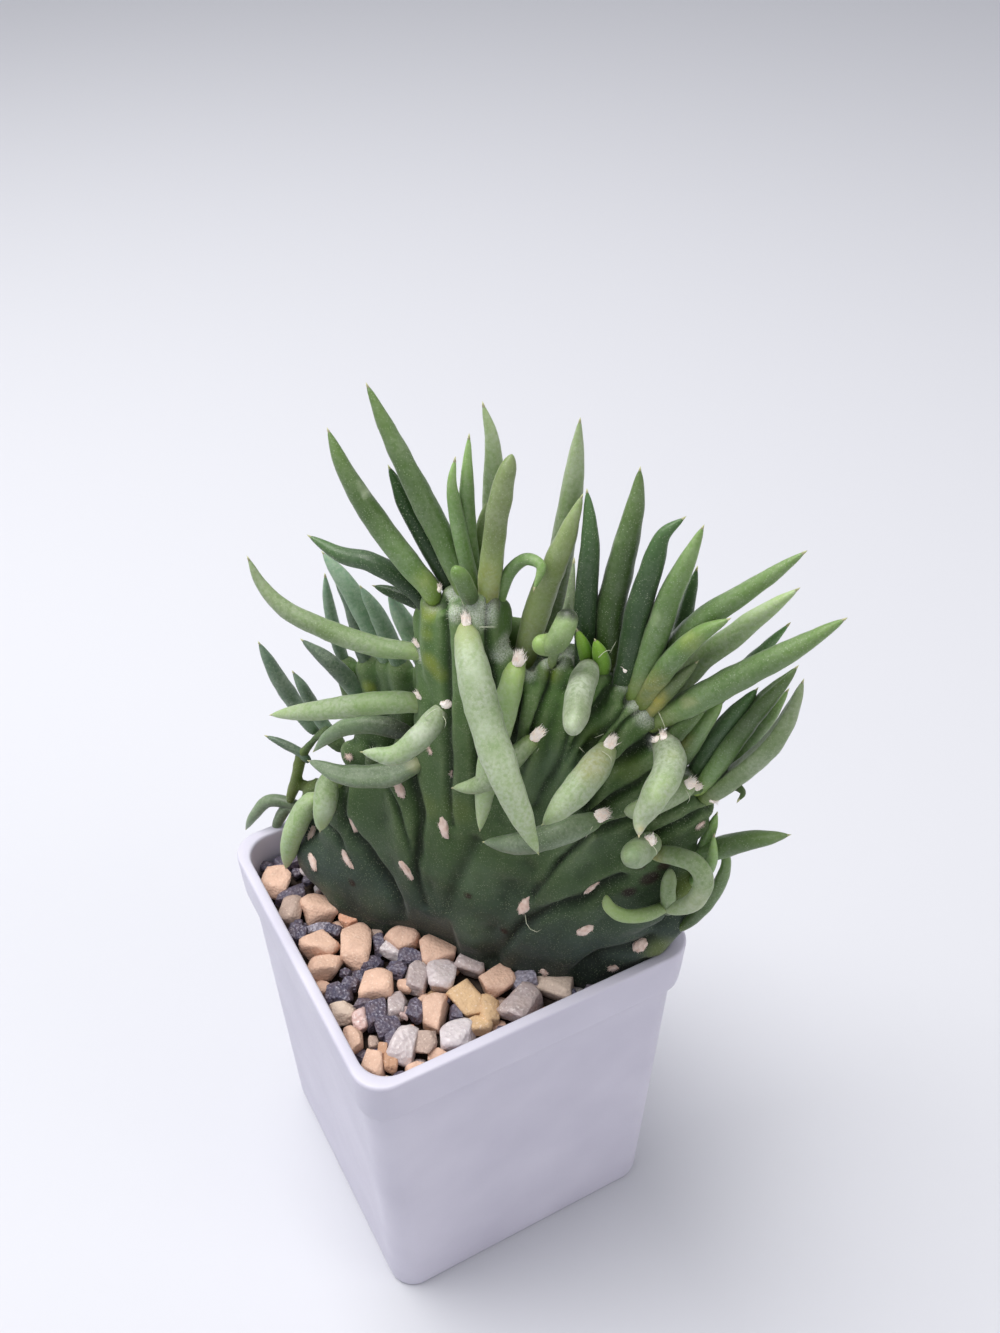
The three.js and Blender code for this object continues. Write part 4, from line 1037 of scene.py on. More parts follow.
def grow_finger(knob, knob_size, leaves_core):
    """A finger that leaves the core's face part of the way up and runs out to its knob."""
    along_fan, in_front, height = fan_position(knob)
    side = -1 if in_front < -2 else 1
    start_height = 82 + (height - 82) * leaves_core
    thinning = math.sqrt(1 - min(0.9, abs(along_fan) / 60))
    start_depth = side * (core_half_at(start_height) - 2.2) * thinning
    middle_depth = side * (core_half_at((start_height + height) / 2) - 1.8) * thinning
    start = in_fan(along_fan * (0.42 + 0.5 * leaves_core), start_depth, start_height)
    middle = in_fan(along_fan * (0.72 + 0.24 * leaves_core), middle_depth * 0.55 + in_front * 0.45,
                    start_height + (height - start_height) * 0.52)
    path = trace([start, middle, knob])
    draw_limb(stem_bm, path, finger_stations(path[1][-1], finger_half, knob_size / 2), 18)


def grow_lobe(knob, knob_size):
    """A broad low lobe from the foot over an old areole, which sinks into the body above it."""
    along_fan, in_front, height = fan_position(knob)
    side = -1 if in_front < -2 else 1
    half = knob_size * 0.62
    low = in_fan(clamp(along_fan * 0.62, -30, 30), side * 6.0, 72)
    crown = in_fan(along_fan, in_front - side * half * 0.9, height)
    beyond = in_fan(along_fan * 1.04, in_front - side * (half + 3.5), height + 9)
    path = trace([low, low.lerp(crown, 0.5) + front * side * 0.8, crown, beyond])
    profile = [(0, 0), (0.03, 0.7), (0.1, 1), (0.3, 1.08), (0.5, 1.08), (0.7, 1), (0.85, 0.82), (0.95, 0.5),
               (1, 0)]
    draw_limb(stem_bm, path, [(share, half * width) for share, width in profile], 20)


knob_places = []
for leaves in (pointed_leaves, blunt_leaves):
    for name, (width, _, *points) in leaves.items():
        if name != "middle_curl" and not name.startswith(("shoot", "back_left_far")):
            knob_size = 5.6 if width > 5 else 3.8 if name.startswith("left") else 4.8
            knob_places.append((seen_at(points[0]), knob_size))
for knobs, knob_size in ((low_knobs, 6.6), (face_knobs, 5.6), (crest_knobs, 4.8), (back_left_knobs, 4.8)):
    for knob in knobs:
        place = seen_at(knob)
        if all((place - other).length > 1.5 for other, _ in knob_places):
            knob_places.append((place, knob_size))
seen_knob_count = len(knob_places)
for knob, knob_size, _, _ in far_knobs:
    if all((knob - other).length >= 4.8 for other, _ in knob_places):
        knob_places.append((knob, knob_size))
for order, (knob, knob_size) in enumerate(knob_places):
    if knob_size > 6:
        grow_lobe(knob, knob_size)
    else:
        grow_finger(knob, knob_size, (0.1, 0.35)[order % 2])
for half, *points in broad_ribs.values():
    path = trace([seen_at(point) for point in points])
    draw_limb(stem_bm, path, finger_stations(path[1][-1], half, half), 18)
shoot_path = trace([seen_at(point) for point in side_shoot])
shoot_stations = [(0, 0), (0.02, 1.2), (0.06, 1.6), (0.2, 1.6), (0.5, 1.4), (0.8, 1.35), (0.94, 1.2),
                  (0.98, 0.8), (1, 0)]
draw_limb(stem_bm, shoot_path, shoot_stations, 16)
print(len(knob_places), "fingers,", seen_knob_count, "of them seen")

# %% One skin
voxel = 0.6
bmesh.ops.recalc_face_normals(stem_bm, faces=stem_bm.faces)
rough_stem = make_object("rough_stem", stem_bm)
wrap = rough_stem.modifiers.new("wrap", "REMESH")
wrap.mode, wrap.voxel_size = "VOXEL", voxel
stem_bm = bmesh.new()
stem_bm.from_mesh(rough_stem.evaluated_get(bpy.context.evaluated_depsgraph_get()).to_mesh())
bpy.data.objects.remove(rough_stem)
ease(stem_bm, stem_bm.verts, rounds=4)
print("Stem skin has", len(stem_bm.verts), "points")

# %% [markdown]
# On the plant, narrow dark furrows part the fingers, and broad ones part the lobes below. Those that
# show are traced in the photograph. The near face is eased first, so that no other furrow is left on
# it. A ray through each pixel lands on the skin, and the skin round it is pressed in. The far face
# gets furrows that fan out from the foot to the crest, every second one only over the upper half.

# %% Where the furrows run
crest_tree = KDTree(len(crest_path[0]))
for index, place in enumerate(crest_path[0]):
    crest_tree.insert(place, index)
crest_tree.balance()
near_face = [vert for vert in stem_bm.verts
             if fan_position(vert.co)[1] > 2 and crest_tree.find(vert.co)[2] > 5.5]
ease(stem_bm, near_face, rounds=26)
stem_bm.normal_update()
skin_tree = BVHTree.FromBMesh(stem_bm)
# A ray this long reaches past the plant from the camera
sight_length = 600
furrow_points = []
for depth, half_width, *pixels in furrows_seen.values():
    path = trace([Vector((across, down, 0)) for across, down in pixels], 6)
    for step in range(int(path[1][-1] / 2) + 1):
        share = step * 2 / path[1][-1]
        pixel = along_path(path, share)[0]
        ray = look_through(pixel.x, pixel.y).normalized()
        spot = skin_tree.ray_cast(eye, ray, sight_length)[0]
        if spot:
            furrow_points.append((spot, depth * (1 - 0.5 * smooth_step(0.75, 1, share)), half_width))
furrow_random = make_random(58)
furrow_spacing, furrow_steps = 5.2, 50
far_furrows = math.floor(crest_path[1][-1] / furrow_spacing)
for i in range(far_furrows):
    top_along, _, top_height = fan_position(along_path(crest_path, (i + 0.5) / far_furrows)[0])
    wave, reach = 6 * furrow_random(), (0.92, 0.5)[i % 2]
    for step in range(furrow_steps):
        share = reach * step / furrow_steps
        along_fan = top_along * (1 - 0.55 * share ** 1.3) + 0.8 * math.sin(share * 5 + wave)
        height = top_height + (80 - top_height) * share
        spot = skin_tree.ray_cast(in_fan(along_fan, -60, height), front, 100)[0]
        if spot:
            furrow_points.append((spot, 1.6 - 0.6 * share, 0.95 + 0.6 * share))
furrow_tree = KDTree(len(furrow_points))
for index, (spot, _, _) in enumerate(furrow_points):
    furrow_tree.insert(spot, index)
furrow_tree.balance()
print(len(furrow_points), "points along furrows")

# %% Pressing the furrows in
pressed_in = []
for vert in stem_bm.verts:
    _, index, away = furrow_tree.find(vert.co)
    _, depth, half_width = furrow_points[index]
    share = math.exp(-(away / (half_width * 0.8)) ** 2)
    pressed_in.append(share ** 1.6 * depth / 1.6)
    vert.co -= vert.normal * depth * share
ease(stem_bm, stem_bm.verts, rounds=1, factor=0.4)
print(sum(share > 0.1 for share in pressed_in), "points pressed in")

# %% Fleshy surface, clear of the stones and the rim
# Where the stem meets the gravel: millimetres along the fan and in front of it
foot_line = [
    (-60, -1), (-42.6, -0.1), (-36.6, 3.5), (-28.2, 6.8), (-22.5, 8.1), (-18.2, 8.4), (-10.7, 7.3),
    (-3.2, 8.0), (-1.4, 10.2), (6.6, 10.6), (13.3, 10.8), (19.7, 10.5), (27.5, 7.2), (33.4, 3.7),
    (39.2, 0.5), (60, 0),
]


def foot_reach(along_fan):
    """How far in front of the fan's middle plane the stem meets the gravel."""
    for (start, near), (end, far) in zip(foot_line, foot_line[1:]):
        if along_fan <= end:
            return near + (far - near) * (along_fan - start) / (end - start)
    return 0.0


flesh_limit = inside_half(pot_height) - 0.35
stem_bm.normal_update()
for vert in stem_bm.verts:
    swell = noise.noise(vert.co * 0.16) * 0.35 + noise.noise(vert.co * 0.5) * 0.12
    vert.co += vert.normal * swell
    along_fan, in_front, height = fan_position(vert.co)
    if height < 96 and -58 < along_fan < 58:
        too_far = in_front - foot_reach(along_fan) - max(0.0, height - 79) * 0.30
        if too_far > 0:
            vert.co -= front * too_far * 0.85 * smooth_step(96, 88, height)
    if vert.co.z < pot_height + 0.6:
        vert.co.x = clamp(vert.co.x, -flesh_limit, flesh_limit)
        vert.co.y = clamp(vert.co.y, -flesh_limit, flesh_limit)
stem_bm.normal_update()
print("Stem stays within", round(flesh_limit, 1), "mm of the pot's middle at the rim")

# %% [markdown]
# The stem's colour changes with its shape. The low flesh is old: dark, grey and dull. The fingers
# above are greener, with a pale waxy bloom on their backs that partly stands for a painted highlight
# on the upper ridges, and the furrows and the foot by the gravel are darkened nearly to black-green as
# painted shade. The traced furrows are known. To find the other ones and the backs, a copy of the skin
# is smoothed much further: where the real skin stands out from the copy it is a back. Young knobs wear
# white felt. A few spots are yellow where the flesh ages, and a few on the left rib are yellow as
# painted light. Others are paler as painted light on ribs in the shade of leaves, and a few are corky.
# All this is stored as attributes.

# %% Colours over the stem
stem_tree = BVHTree.FromBMesh(stem_bm)


def on_stem(across, down):
    """The place on the stem's skin that shows at a pixel."""
    touch = stem_tree.ray_cast(eye, look_through(across, down).normalized(), sight_length)[0]
    return touch if touch else seen_at((across, down, 3))


eased = stem_bm.copy()
ease(eased, eased.verts, rounds=22)
skin_layer = stem_bm.verts.layers.float_color.new("skin")
bloom_and_highlight_layer = stem_bm.verts.layers.float.new("bloom")
felt_layer = stem_bm.verts.layers.float.new("felt")

# A pixel across and down, and half a size in millimetres
frosted_spots = [(on_stem(*p[:2]), p[2]) for p in (
    (432, 602, 2.0), (452, 594, 1.7), (457, 612, 2.1), (472, 610, 2.4), (484, 614, 2.8), (505, 645, 2.4),
    (500, 655, 1.6), (536, 667, 2.6), (529, 672, 1.8), (568, 655, 2.4), (561, 662, 1.4), (612, 668, 1.7),
    (625, 679, 2.2), (637, 696, 2.2), (634, 704, 1.6), (648, 715, 2.6), (655, 742, 1.6), (700, 778, 2.6),
    (548, 662, 1.4), (420, 655, 1.6), (372, 750, 1.8), (684, 778, 2.0))]
# The same, and how strong the tint is: yellow where the flesh ages, while the first four, on the left rib,
# are painted light falling on that rib
ageing_and_lit_yellow, painted_light_flesh = linear("#88942e"), linear("#6f8468")
tinted_spots = [(on_stem(*p[:2]), *p[2:], ageing_and_lit_yellow) for p in (
    (428, 612, 1.8, 0.8), (426, 634, 1.3, 0.4), (430, 663, 1.8, 0.8), (438, 674, 1.6, 0.6),
    (368, 688, 1.3, 0.8), (304, 745, 4.0, 0.4), (298, 770, 5.0, 0.4), (291, 797, 4.0, 0.4),
    (690, 890, 3.4, 0.35), (660, 950, 3.0, 0.3), (641, 706, 1.2, 0.5), (428, 806, 2.6, 0.15),
    (458, 810, 3.0, 0.15), (552, 672, 1.6, 0.5), (598, 740, 3.0, 0.2), (630, 770, 3.0, 0.2))]
# Painted light: paler spots that lighten ribs lying in the shade of leaves
tinted_spots += [(on_stem(*p[:2]), *p[2:], painted_light_flesh) for p in (
    (545, 776, 5.0, 0.55), (560, 758, 4.0, 0.45), (478, 880, 5.0, 0.25), (470, 930, 4.0, 0.32),
    (572, 850, 5.0, 0.25), (600, 838, 4.0, 0.15), (330, 893, 3.5, 0.28), (378, 850, 3.5, 0.18),
    (374, 900, 4.0, 0.15))]
# Corky: a pixel across and down, and half a size in millimetres
brown_spots = [(on_stem(*p[:2]), p[2]) for p in (
    (497, 598, 1.5), (499, 605, 1.0), (352, 883, 0.9), (468, 896, 0.8), (629, 892, 1.5), (650, 878, 2.2),
    (664, 866, 1.5), (640, 866, 1.2), (504, 931, 0.9))]

old_flesh, mid_flesh, young_flesh = linear("#3a4640"), linear("#405730"), linear("#57773e")
furrow_shade_colour, brown_colour = linear("#101a0f"), linear("#2a1a14")
for vert, eased_vert, pressed in zip(stem_bm.verts, eased.verts, pressed_in):
    stands_out = (vert.co - eased_vert.co).dot(vert.normal)
    height = vert.co.z + 3 * noise.noise(vert.co * 0.09)
    colour = blend_colours(old_flesh, mid_flesh, smooth_step(84, 112, height))
    colour = blend_colours(colour, young_flesh, smooth_step(112, 150, height) * 0.8)
    # Painted shade: furrows, hollows and the foot by the gravel are darkened towards near-black green
    sunken_shade = max(0.7 * smooth_step(0.02, -0.45, stands_out),
                 0.85 * clamp(pressed) * smooth_step(0.0, 0.2, pressed))
    colour = blend_colours(colour, furrow_shade_colour, max(sunken_shade, 0.6 * smooth_step(85, 81, vert.co.z)))
    for spot, size, strength, tinted in tinted_spots:
        near = (vert.co - spot).length / size
        if near < 1.6:
            colour = blend_colours(colour, tinted, strength * smooth_step(1.6, 0.3, near) * (1 - sunken_shade))
    for spot, size in brown_spots:
        near = (vert.co - spot).length / size
        if near < 1.2:
            colour = blend_colours(colour, brown_colour, smooth_step(1.2, 0.6, near))
    vert[skin_layer] = colour
    # Pale bloom on the backs of the ribs, stronger higher up: partly real bloom, partly a painted highlight
    # on the lit upper ridges
    back_bloom_and_highlight = clamp(0.1 + 0.5 * smooth_step(0.0, 0.5, stands_out) - sunken_shade)
    vert[bloom_and_highlight_layer] = back_bloom_and_highlight * smooth_step(84, 130, height)
    nearest = min((vert.co - spot).length / size for spot, size in frosted_spots)
    vert[felt_layer] = smooth_step(1.25, 0.35, nearest)
eased.free()
print(len(frosted_spots), "felted,", len(tinted_spots), "tinted and", len(brown_spots), "corky spots")

# %% [markdown]
# Leaves and stem share one kind of skin: a waxy cuticle over green flesh. It has a soft sheen, fine
# pores that show as pale dots, and a whitish bloom that rubs off. Light goes a little way into the
# flesh, so thin parts glow. Real pores are about 0.15 mm apart, and are drawn at 0.4 mm so that
# they show at all.

# %% Waxy skin
pore_spacing = 0.4


def waxy_skin(name, roughness, bloom_colour, pore_strength, shine, coat):
    """Green flesh under a cuticle that reads its colour, bloom and felt from the mesh."""
    material, tree, shader, millimetres = new_finish(name, {
        "IOR": 1.42, "Subsurface Weight": 0.18, "Subsurface Radius": (0.0009, 0.0016, 0.0005),
        "Subsurface Scale": 1.0, "Sheen Weight": 0.12, "Sheen Roughness": 0.4,
        "Specular IOR Level": shine, "Coat Weight": coat, "Coat Roughness": 0.35})
    skin = add_node(tree, "ShaderNodeAttribute", attribute_name="skin").outputs["Color"]
    bloom = add_node(tree, "ShaderNodeAttribute", attribute_name="bloom").outputs["Fac"]
    felt = add_node(tree, "ShaderNodeAttribute", attribute_name="felt").outputs["Fac"]
    clouds, mottle, streaks = (
        add_node(tree, "ShaderNodeTexNoise", {
            "Vector": millimetres, "Scale": scale, "Detail": detail}).outputs[0]
        for scale, detail in ((0.35, 4), (1.5, 3), (4.5, 2)))
    pores = add_node(tree, "ShaderNodeTexVoronoi", {
        "Vector": millimetres, "Scale": 1 / pore_spacing}).outputs["Distance"]
    shaded = tint(tree, spread(tree, clouds, 0.3, 0.7, 0.0, 0.35), skin, "#8f9f72", "SOFT_LIGHT")
    worn = add_node(tree, "ShaderNodeMath", {
        0: bloom, 1: spread(tree, mottle, 0.35, 0.6, 0.45, 1.0)}, operation="MULTIPLY").outputs[0]
    bloomed = tint(tree, worn, shaded, bloom_colour)
    dots = add_node(tree, "ShaderNodeMath", {
        0: spread(tree, pores, 0.12, 0.32, pore_strength, 0.0),
        1: spread(tree, clouds, 0.4, 0.65, 0.35, 1.0)}, operation="MULTIPLY").outputs[0]
    dotted = tint(tree, dots, bloomed, "#c3cfae")
    thick = add_node(tree, "ShaderNodeMath", {
        0: felt, 1: spread(tree, streaks, 0.35, 0.65, 0.25, 0.85)}, operation="MULTIPLY").outputs[0]
    tree.links.new(tint(tree, thick, dotted, "#c9cfc4"), shader.inputs["Base Color"])
    tree.links.new(spread(tree, worn, 0.0, 1.0, roughness, roughness + 0.22), shader.inputs["Roughness"])
    height = add_node(tree, "ShaderNodeMath", {
        0: mottle, 1: spread(tree, pores, 0.0, 0.4, 0.35, 0.0)}, operation="ADD").outputs[0]
    bump = add_node(tree, "ShaderNodeBump", {"Height": height, "Strength": 0.35, "Distance": 0.0002})
    tree.links.new(bump.outputs["Normal"], shader.inputs["Normal"])
    return material


stem_skin = waxy_skin("waxy_stem_skin", 0.55, "#7d8c66", 0.30, 0.28, 0.0)
leaf_skin = waxy_skin("waxy_leaf_skin", 0.42, "#c3cab8", 0.38, 0.5, 0.08)
stem = finish_piece("crested_stem", stem_bm, stem_skin)
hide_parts("crested_cactus")

# %% [markdown]
# ## Leaves
#
# A needle leaf is nearly round, thickest about a third of the way along, a little flat on the side
# that faces the stem, and ends in a point or a blunt tip. Each is a ball drawn out along its path,
# with its root sunk in the knob. Young ones near the crest are bright and fresh, old ones that hang
# over the face are broad and pale with bloom.

# %% Leaf finishes
# Colour at the root, along the leaf and at the tip, then how much bloom it wears
# The deep finish and the dusky one are darkened copies that paint shade on leaves lying in shadow; the
# sunlit finish is a lightened copy that paints light
leaf_finishes = {
    "fresh": ("#6e8631", "#4f6f2d", "#66853c", 0.2), "deep": ("#304f1f", "#2b4c21", "#446833", 0.09),
    "pale": ("#7c8f4f", "#678045", "#829662", 0.42), "frosted": ("#98a26c", "#7b9160", "#8c9e6e", 0.70),
    "dusky_shade": ("#465f43", "#456649", "#597861", 0.34),
    "green_curl": ("#55683c", "#71894f", "#87a355", 0.2), "bud": ("#7fa32c", "#6f9a30", "#86b03c", 0.0),
    "sunlit": ("#899238", "#7b8d48", "#87995c", 0.28), "olive": ("#818f45", "#697f45", "#7c8f56", 0.18),
    "grey": ("#647a4c", "#5f784f", "#718864", 0.34),
}
# Leaves that narrow towards the root: the root's share of the full width
narrow_roots = {
    "face_giant": 0.55, "face_middle": 0.42, "face_horn": 0.38, "face_tucked": 0.5, "face_lying": 0.45,
    "face_right": 0.65, "face_right_behind": 0.5, "face_blunt": 0.7, "left_top": 0.6, "left_middle": 0.65,
    "left_boat": 0.4, "left_arched": 0.5, "left_hanging": 0.5, "left_lowest": 0.5, "right_longest": 0.65,
    "right_hook": 0.6, "low_level": 0.6, "low_long": 0.6, "low_curl": 0.65, "back_left_pale": 0.6,
}
# How much lighter or darker a leaf is than its finish, at the root and beyond: partly each leaf's own tone,
# partly painted light and shade, such as the shade near the roots
leaf_tones_and_shade = {
    "crown_outer": (1.35, 0.75), "crown_tallest": (1.25, 0.85), "crown_dark": (0.55, 0.62),
    "crown_low": (0.6, 1.05), "crown_low_short": (0.5, 0.7), "crown_slim_bright": (1.3, 1.6),
    "crown_slim_dark": (1.2, 1.7), "crown_behind": (1.35, 1.25), "crown_hook": (2.0, 1.55),
    "crown_blunt": (1.5, 0.75), "crown_stub": (0.5, 0.95), "middle_broad": (1.7, 1.05),
    "middle_tallest": (0.8, 1.2), "middle_dark": (0.65, 1.05), "middle_straight": (0.6, 0.68),
    "middle_bent_tip": (0.85, 0.95), "middle_right": (1.4, 1.2), "middle_pale": (0.9, 0.75),
    "middle_curl_tip": (1.1, 0.6), "middle_curl": (1.2, 0.8), "bud_left": (0.7, 1.05),
    "bud_right": (0.7, 1.05), "right_upper": (0.55, 1.15), "right_pale": (0.85, 1.5),
    "right_yellow": (0.9, 1.15), "right_bud": (0.9, 0.75), "right_longest": (1.5, 1.1),
    "right_peeping": (0.65, 1.6), "right_short": (1.0, 0.7), "right_tucked": (0.65, 1.2),
    "right_green": (1.3, 1.2), "right_dark": (1.5, 0.6), "right_dark_behind": (0.85, 1.4),
    "right_hook": (0.9, 0.5), "low_level": (1.8, 0.8), "low_pointed": (1.6, 1.8), "low_long": (0.6, 0.95),
    "low_upright": (1.7, 1.8), "low_curl": (1.2, 1.1), "low_ring": (1.25, 1.7), "low_stub": (0.45, 1.2),
    "face_giant": (1.15, 1.15), "face_behind_giant": (1.8, 1.4), "face_lying": (0.9, 0.6),
    "face_right": (0.75, 1.05), "face_blunt": (0.75, 0.7), "face_right_behind": (1.15, 1.0),
    "face_nose": (1.3, 1.0), "left_top": (1.45, 0.95), "left_middle": (1.6, 1.35),
    "left_arched": (0.15, 1.2), "left_boat": (0.8, 0.8), "left_hanging": (1.1, 1.45),
    "left_lowest": (1.4, 1.8), "back_left_pale": (1.9, 1.7), "back_left_thin": (1.2, 1.4),
    "back_left_dark": (0.75, 0.75), "back_left_grey": (1.25, 1.4), "back_left_broad": (1.5, 2.2),
    "back_left_low": (1.4, 0.6), "back_left_far": (1.35, 0.9), "back_left_far_short": (1.35, 0.9),
    "shoot_thin": (0.75, 0.6), "shoot_hook": (0.5, 0.9), "shoot_end": (0.8, 0.9),
}


def leaf_profile(share, blunt, root):
    """A leaf's width at a share of its length, as a share of its full width."""
    if share < 0.35:
        return root + (1 - root) * math.sin(math.pi / 2 * share / 0.35)
    beyond = (share - 0.35) / 0.65
    return (1 - beyond ** 6) ** 0.6 if blunt else (1 - beyond ** 2.5) ** 0.68


leaf_rings, leaf_sides = 40, 20


def grow_leaf(bm, name, points, width, finish, blunt, random, channel=0.0, sink=root_sink):
    """A needle leaf through its points, coloured from root to tip, with a thorn if it is pointed."""
    inwards = (in_fan(0, 0, finger_start) - points[0]).normalized()
    if fan_position(points[0])[1] > 2.5:
        inwards, sink = (inwards * 0.35 - front).normalized(), sink * 0.45
    path = trace([points[0] + inwards * sink, *points])
    offset = 60 * random()
    root_share = narrow_roots.get(name, 0.8)
    stations = [(0, 0), (0.02, width * 0.375 * root_share), (0.05, width * 0.475 * root_share)]
    for step in range(1, leaf_rings):
        share = 0.05 + 0.95 * math.sin(math.pi / 2 * step / leaf_rings)
        uneven = 1 + 0.035 * noise.noise(Vector((share * 7, offset, 0)))
        stations.append((share, width / 2 * leaf_profile(share, blunt, root_share) * uneven))
    stations.append((1, 0))
    towards_stem = (in_fan(0, 0, points[0].z + 25) - points[len(points) // 2]).normalized()
    drawn = draw_limb(bm, path, stations, leaf_sides, above=towards_stem, channel=channel, flatten=0.10)
    *colours, bloom = leaf_finishes[finish]
    root_colour, body, tip = (linear(colour) for colour in colours)
    shift = 0.92 + 0.16 * random()
    # The tones paint light and shade onto the leaf as well as giving it its own tone
    low_tone, high_tone = leaf_tones_and_shade.get(name, (1.0, 1.0))
    skin, bloomed = bm.verts.layers.float_color["skin"], bm.verts.layers.float["bloom"]
    for vert, share in drawn:
        colour = blend_colours(root_colour, body, smooth_step(0.04, 0.22, share))
        colour = blend_colours(colour, tip, smooth_step(0.6, 0.98, share))
        tone = low_tone + (high_tone - low_tone) * smooth_step(0.2, 0.6, share)
        vert[skin] = tuple(c * shift * tone for c in colour[:3]) + (1.0,)
        patchy = bloom * (0.7 + 0.5 * noise.noise(vert.co * 0.25)) * smooth_step(0.02, 0.2, share)
        vert[bloomed] = clamp(patchy + 0.15 * (tone - 1))
        vert.co += (vert.co - along_path(path, share)[0]) * 0.09 * noise.noise(vert.co * 0.35)
    if not blunt:
        end, direction = along_path(path, 1)
        thorn = trace([end - direction * 0.7, end, end + direction * 0.5], 3)
        for vert, _ in draw_limb(bm, thorn, [(0, 0), (0.2, 0.26), (0.6, 0.16), (1, 0)], 8):
            vert[skin] = linear("#b3b389")


def new_leaf_bm():
    """An empty bmesh with the attributes that the waxy skin reads."""
    bm = bmesh.new()
    bm.verts.layers.float_color.new("skin")
    bm.verts.layers.float.new("bloom")
    bm.verts.layers.float.new("felt")
    return bm


# %% Marks on the leaves
# A leaf's marks: a pixel across and down, the mark's half size in millimetres, its colour
leaf_marks = {
    "crown_outer": [(366, 493, 0.8, "#c3ccb0"), (361, 486, 0.6, "#c3ccb0"), (424, 580, 2.0, "#9aab50")],
    "crown_blunt": [(497, 596, 1.8, "#5a4a20"), (487, 580, 3.0, "#a3a83e")],
    "middle_straight": [(613, 541, 0.8, "#9fb08a")],
    # The dark ring on the curled leaf is painted shade in the crease where the crossing leaf tip meets it
    "middle_curl": [(559, 612, 1.3, "#101714"), (563, 610, 1.3, "#101714"), (567, 609, 1.4, "#101714"),
        (571, 611, 1.4, "#101714"), (575, 613, 1.3, "#101714"), (532, 641, 2.6, "#8fae55")],
    "middle_right": [(653, 618, 1.4, "#9cae84"), (636, 686, 2.0, "#8f9c4e")],
    "face_middle": [(590, 768, 2.8, "#a39b34"), (599, 757, 2.2, "#a39b34"), (572, 790, 3.0, "#7f9a52"),
        (553, 815, 2.6, "#86a060")],
    "face_giant": [(468, 641, 1.0, "#86953f"), (474, 672, 1.8, "#bcc7b0"), (486, 730, 1.6, "#b8c4ac"),
        (511, 790, 2.4, "#84a05c"), (520, 820, 3.2, "#7f9c54"), (530, 845, 2.6, "#7f9c54")],
    "face_horn": [(376, 757, 3.0, "#749a4a"), (400, 748, 2.4, "#84a060"), (422, 734, 2.0, "#b5c0ac")],
    "face_right": [(671, 755, 1.2, "#8a9a50"), (664, 790, 3.0, "#9bb866"), (640, 832, 1.2, "#d9c99a")],
    "face_nose": [(634, 858, 2.6, "#6f8a62")],
    "face_blunt": [(575, 722, 1.6, "#a9b79b")],
    "right_yellow": [(651, 690, 3.2, "#9a9843"), (690, 640, 2.2, "#8fa04c")],
    "right_bud": [(651, 702, 2.6, "#c8b84a")],
    "right_longest": [(662, 716, 3.0, "#86984e"), (688, 702, 1.2, "#a8a878")],
    "right_tucked": [(673, 738, 3.0, "#a59c33")],
    "middle_broad": [(530, 640, 4.0, "#7d8a3f")],
    "low_curl": [(652, 857, 2.4, "#8d7a2c"), (698, 903, 2.4, "#b9bf9f")],
    "left_hanging": [(326, 812, 2.0, "#b9c8ac")],
    "left_boat": [(415, 764, 1.6, "#b5b28c")],
    "left_lowest": [(291, 850, 2.0, "#7fa85a")],
}


def mark_leaf(name, bm, first):
    """Blends a leaf's marks into its colour, by the distance of its skin from the line of sight."""
    skin = bm.verts.layers.float_color["skin"]
    bm.verts.ensure_lookup_table()
    for across, down, size, colour in leaf_marks.get(name, []):
        sight = look_through(across, down).normalized()
        for vert in bm.verts[first:]:
            near = (vert.co - eye).cross(sight).length / size
            if near < 1.4:
                share = clamp(0.75 + 0.6 * noise.noise(vert.co * 0.9)) * 0.7 * smooth_step(1.4, 0.3, near)
                vert[skin] = blend_colours(vert[skin], linear(colour), share)


# %% Growing the leaves
leaf_groups = {
    "crown": "crown_leaves", "middle": "middle_leaves", "bud": "middle_leaves", "right": "right_leaves",
    "low": "low_leaves", "face": "face_leaves", "left": "left_leaves", "back": "back_left_leaves",
    "shoot": "back_left_leaves",
}
# Leaves with a channel on the side that faces the stem, and its depth as a share of the radius
hollowed = {
    "right_dark": 0.35, "right_bowed": 0.30, "right_dark_behind": 0.3, "middle_dark": 0.25,
    "left_boat": 0.2,
}
leaf_random = make_random(2113)
leaf_bms = {name: new_leaf_bm() for name in sorted(set(leaf_groups.values()))}
for leaves, blunt in ((pointed_leaves, False), (blunt_leaves, True)):
    for name, (width, finish, *points) in leaves.items():
        bm = leaf_bms[leaf_groups[name.split("_")[0]]]
        first = len(bm.verts)
        grow_leaf(bm, name, [seen_at(point) for point in points], width, finish, blunt, leaf_random,
                  hollowed.get(name, 0), 0.2 if name == "middle_curl" else root_sink)
        mark_leaf(name, bm, first)

far_bm = new_leaf_bm()
kept = {tuple(place) for place, _ in knob_places[seen_knob_count:]}
for knob, _, width, path in far_knobs:
    if path and tuple(knob) in kept:
        finish = "pale" if leaf_random() < 0.5 else "fresh"
        grow_leaf(far_bm, "far", path, width, finish, False, leaf_random)
leaf_bms["far_leaves"] = far_bm
leaf_pieces = []
for name, bm in leaf_bms.items():
    piece = finish_piece(name, bm, leaf_skin)
    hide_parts("crested_cactus")
    leaf_pieces.append(piece)

# %% [markdown]
# ## Wool
#
# Each knob has an areole, a cushion of short wool from which the leaf grows. High up it draws together
# behind the leaf's root like a wet brush, pinkish white. Low down, where the leaf has dropped, it is
# a worn oval pad. A ray from the camera through the spot's pixel finds where it sits on the plant.

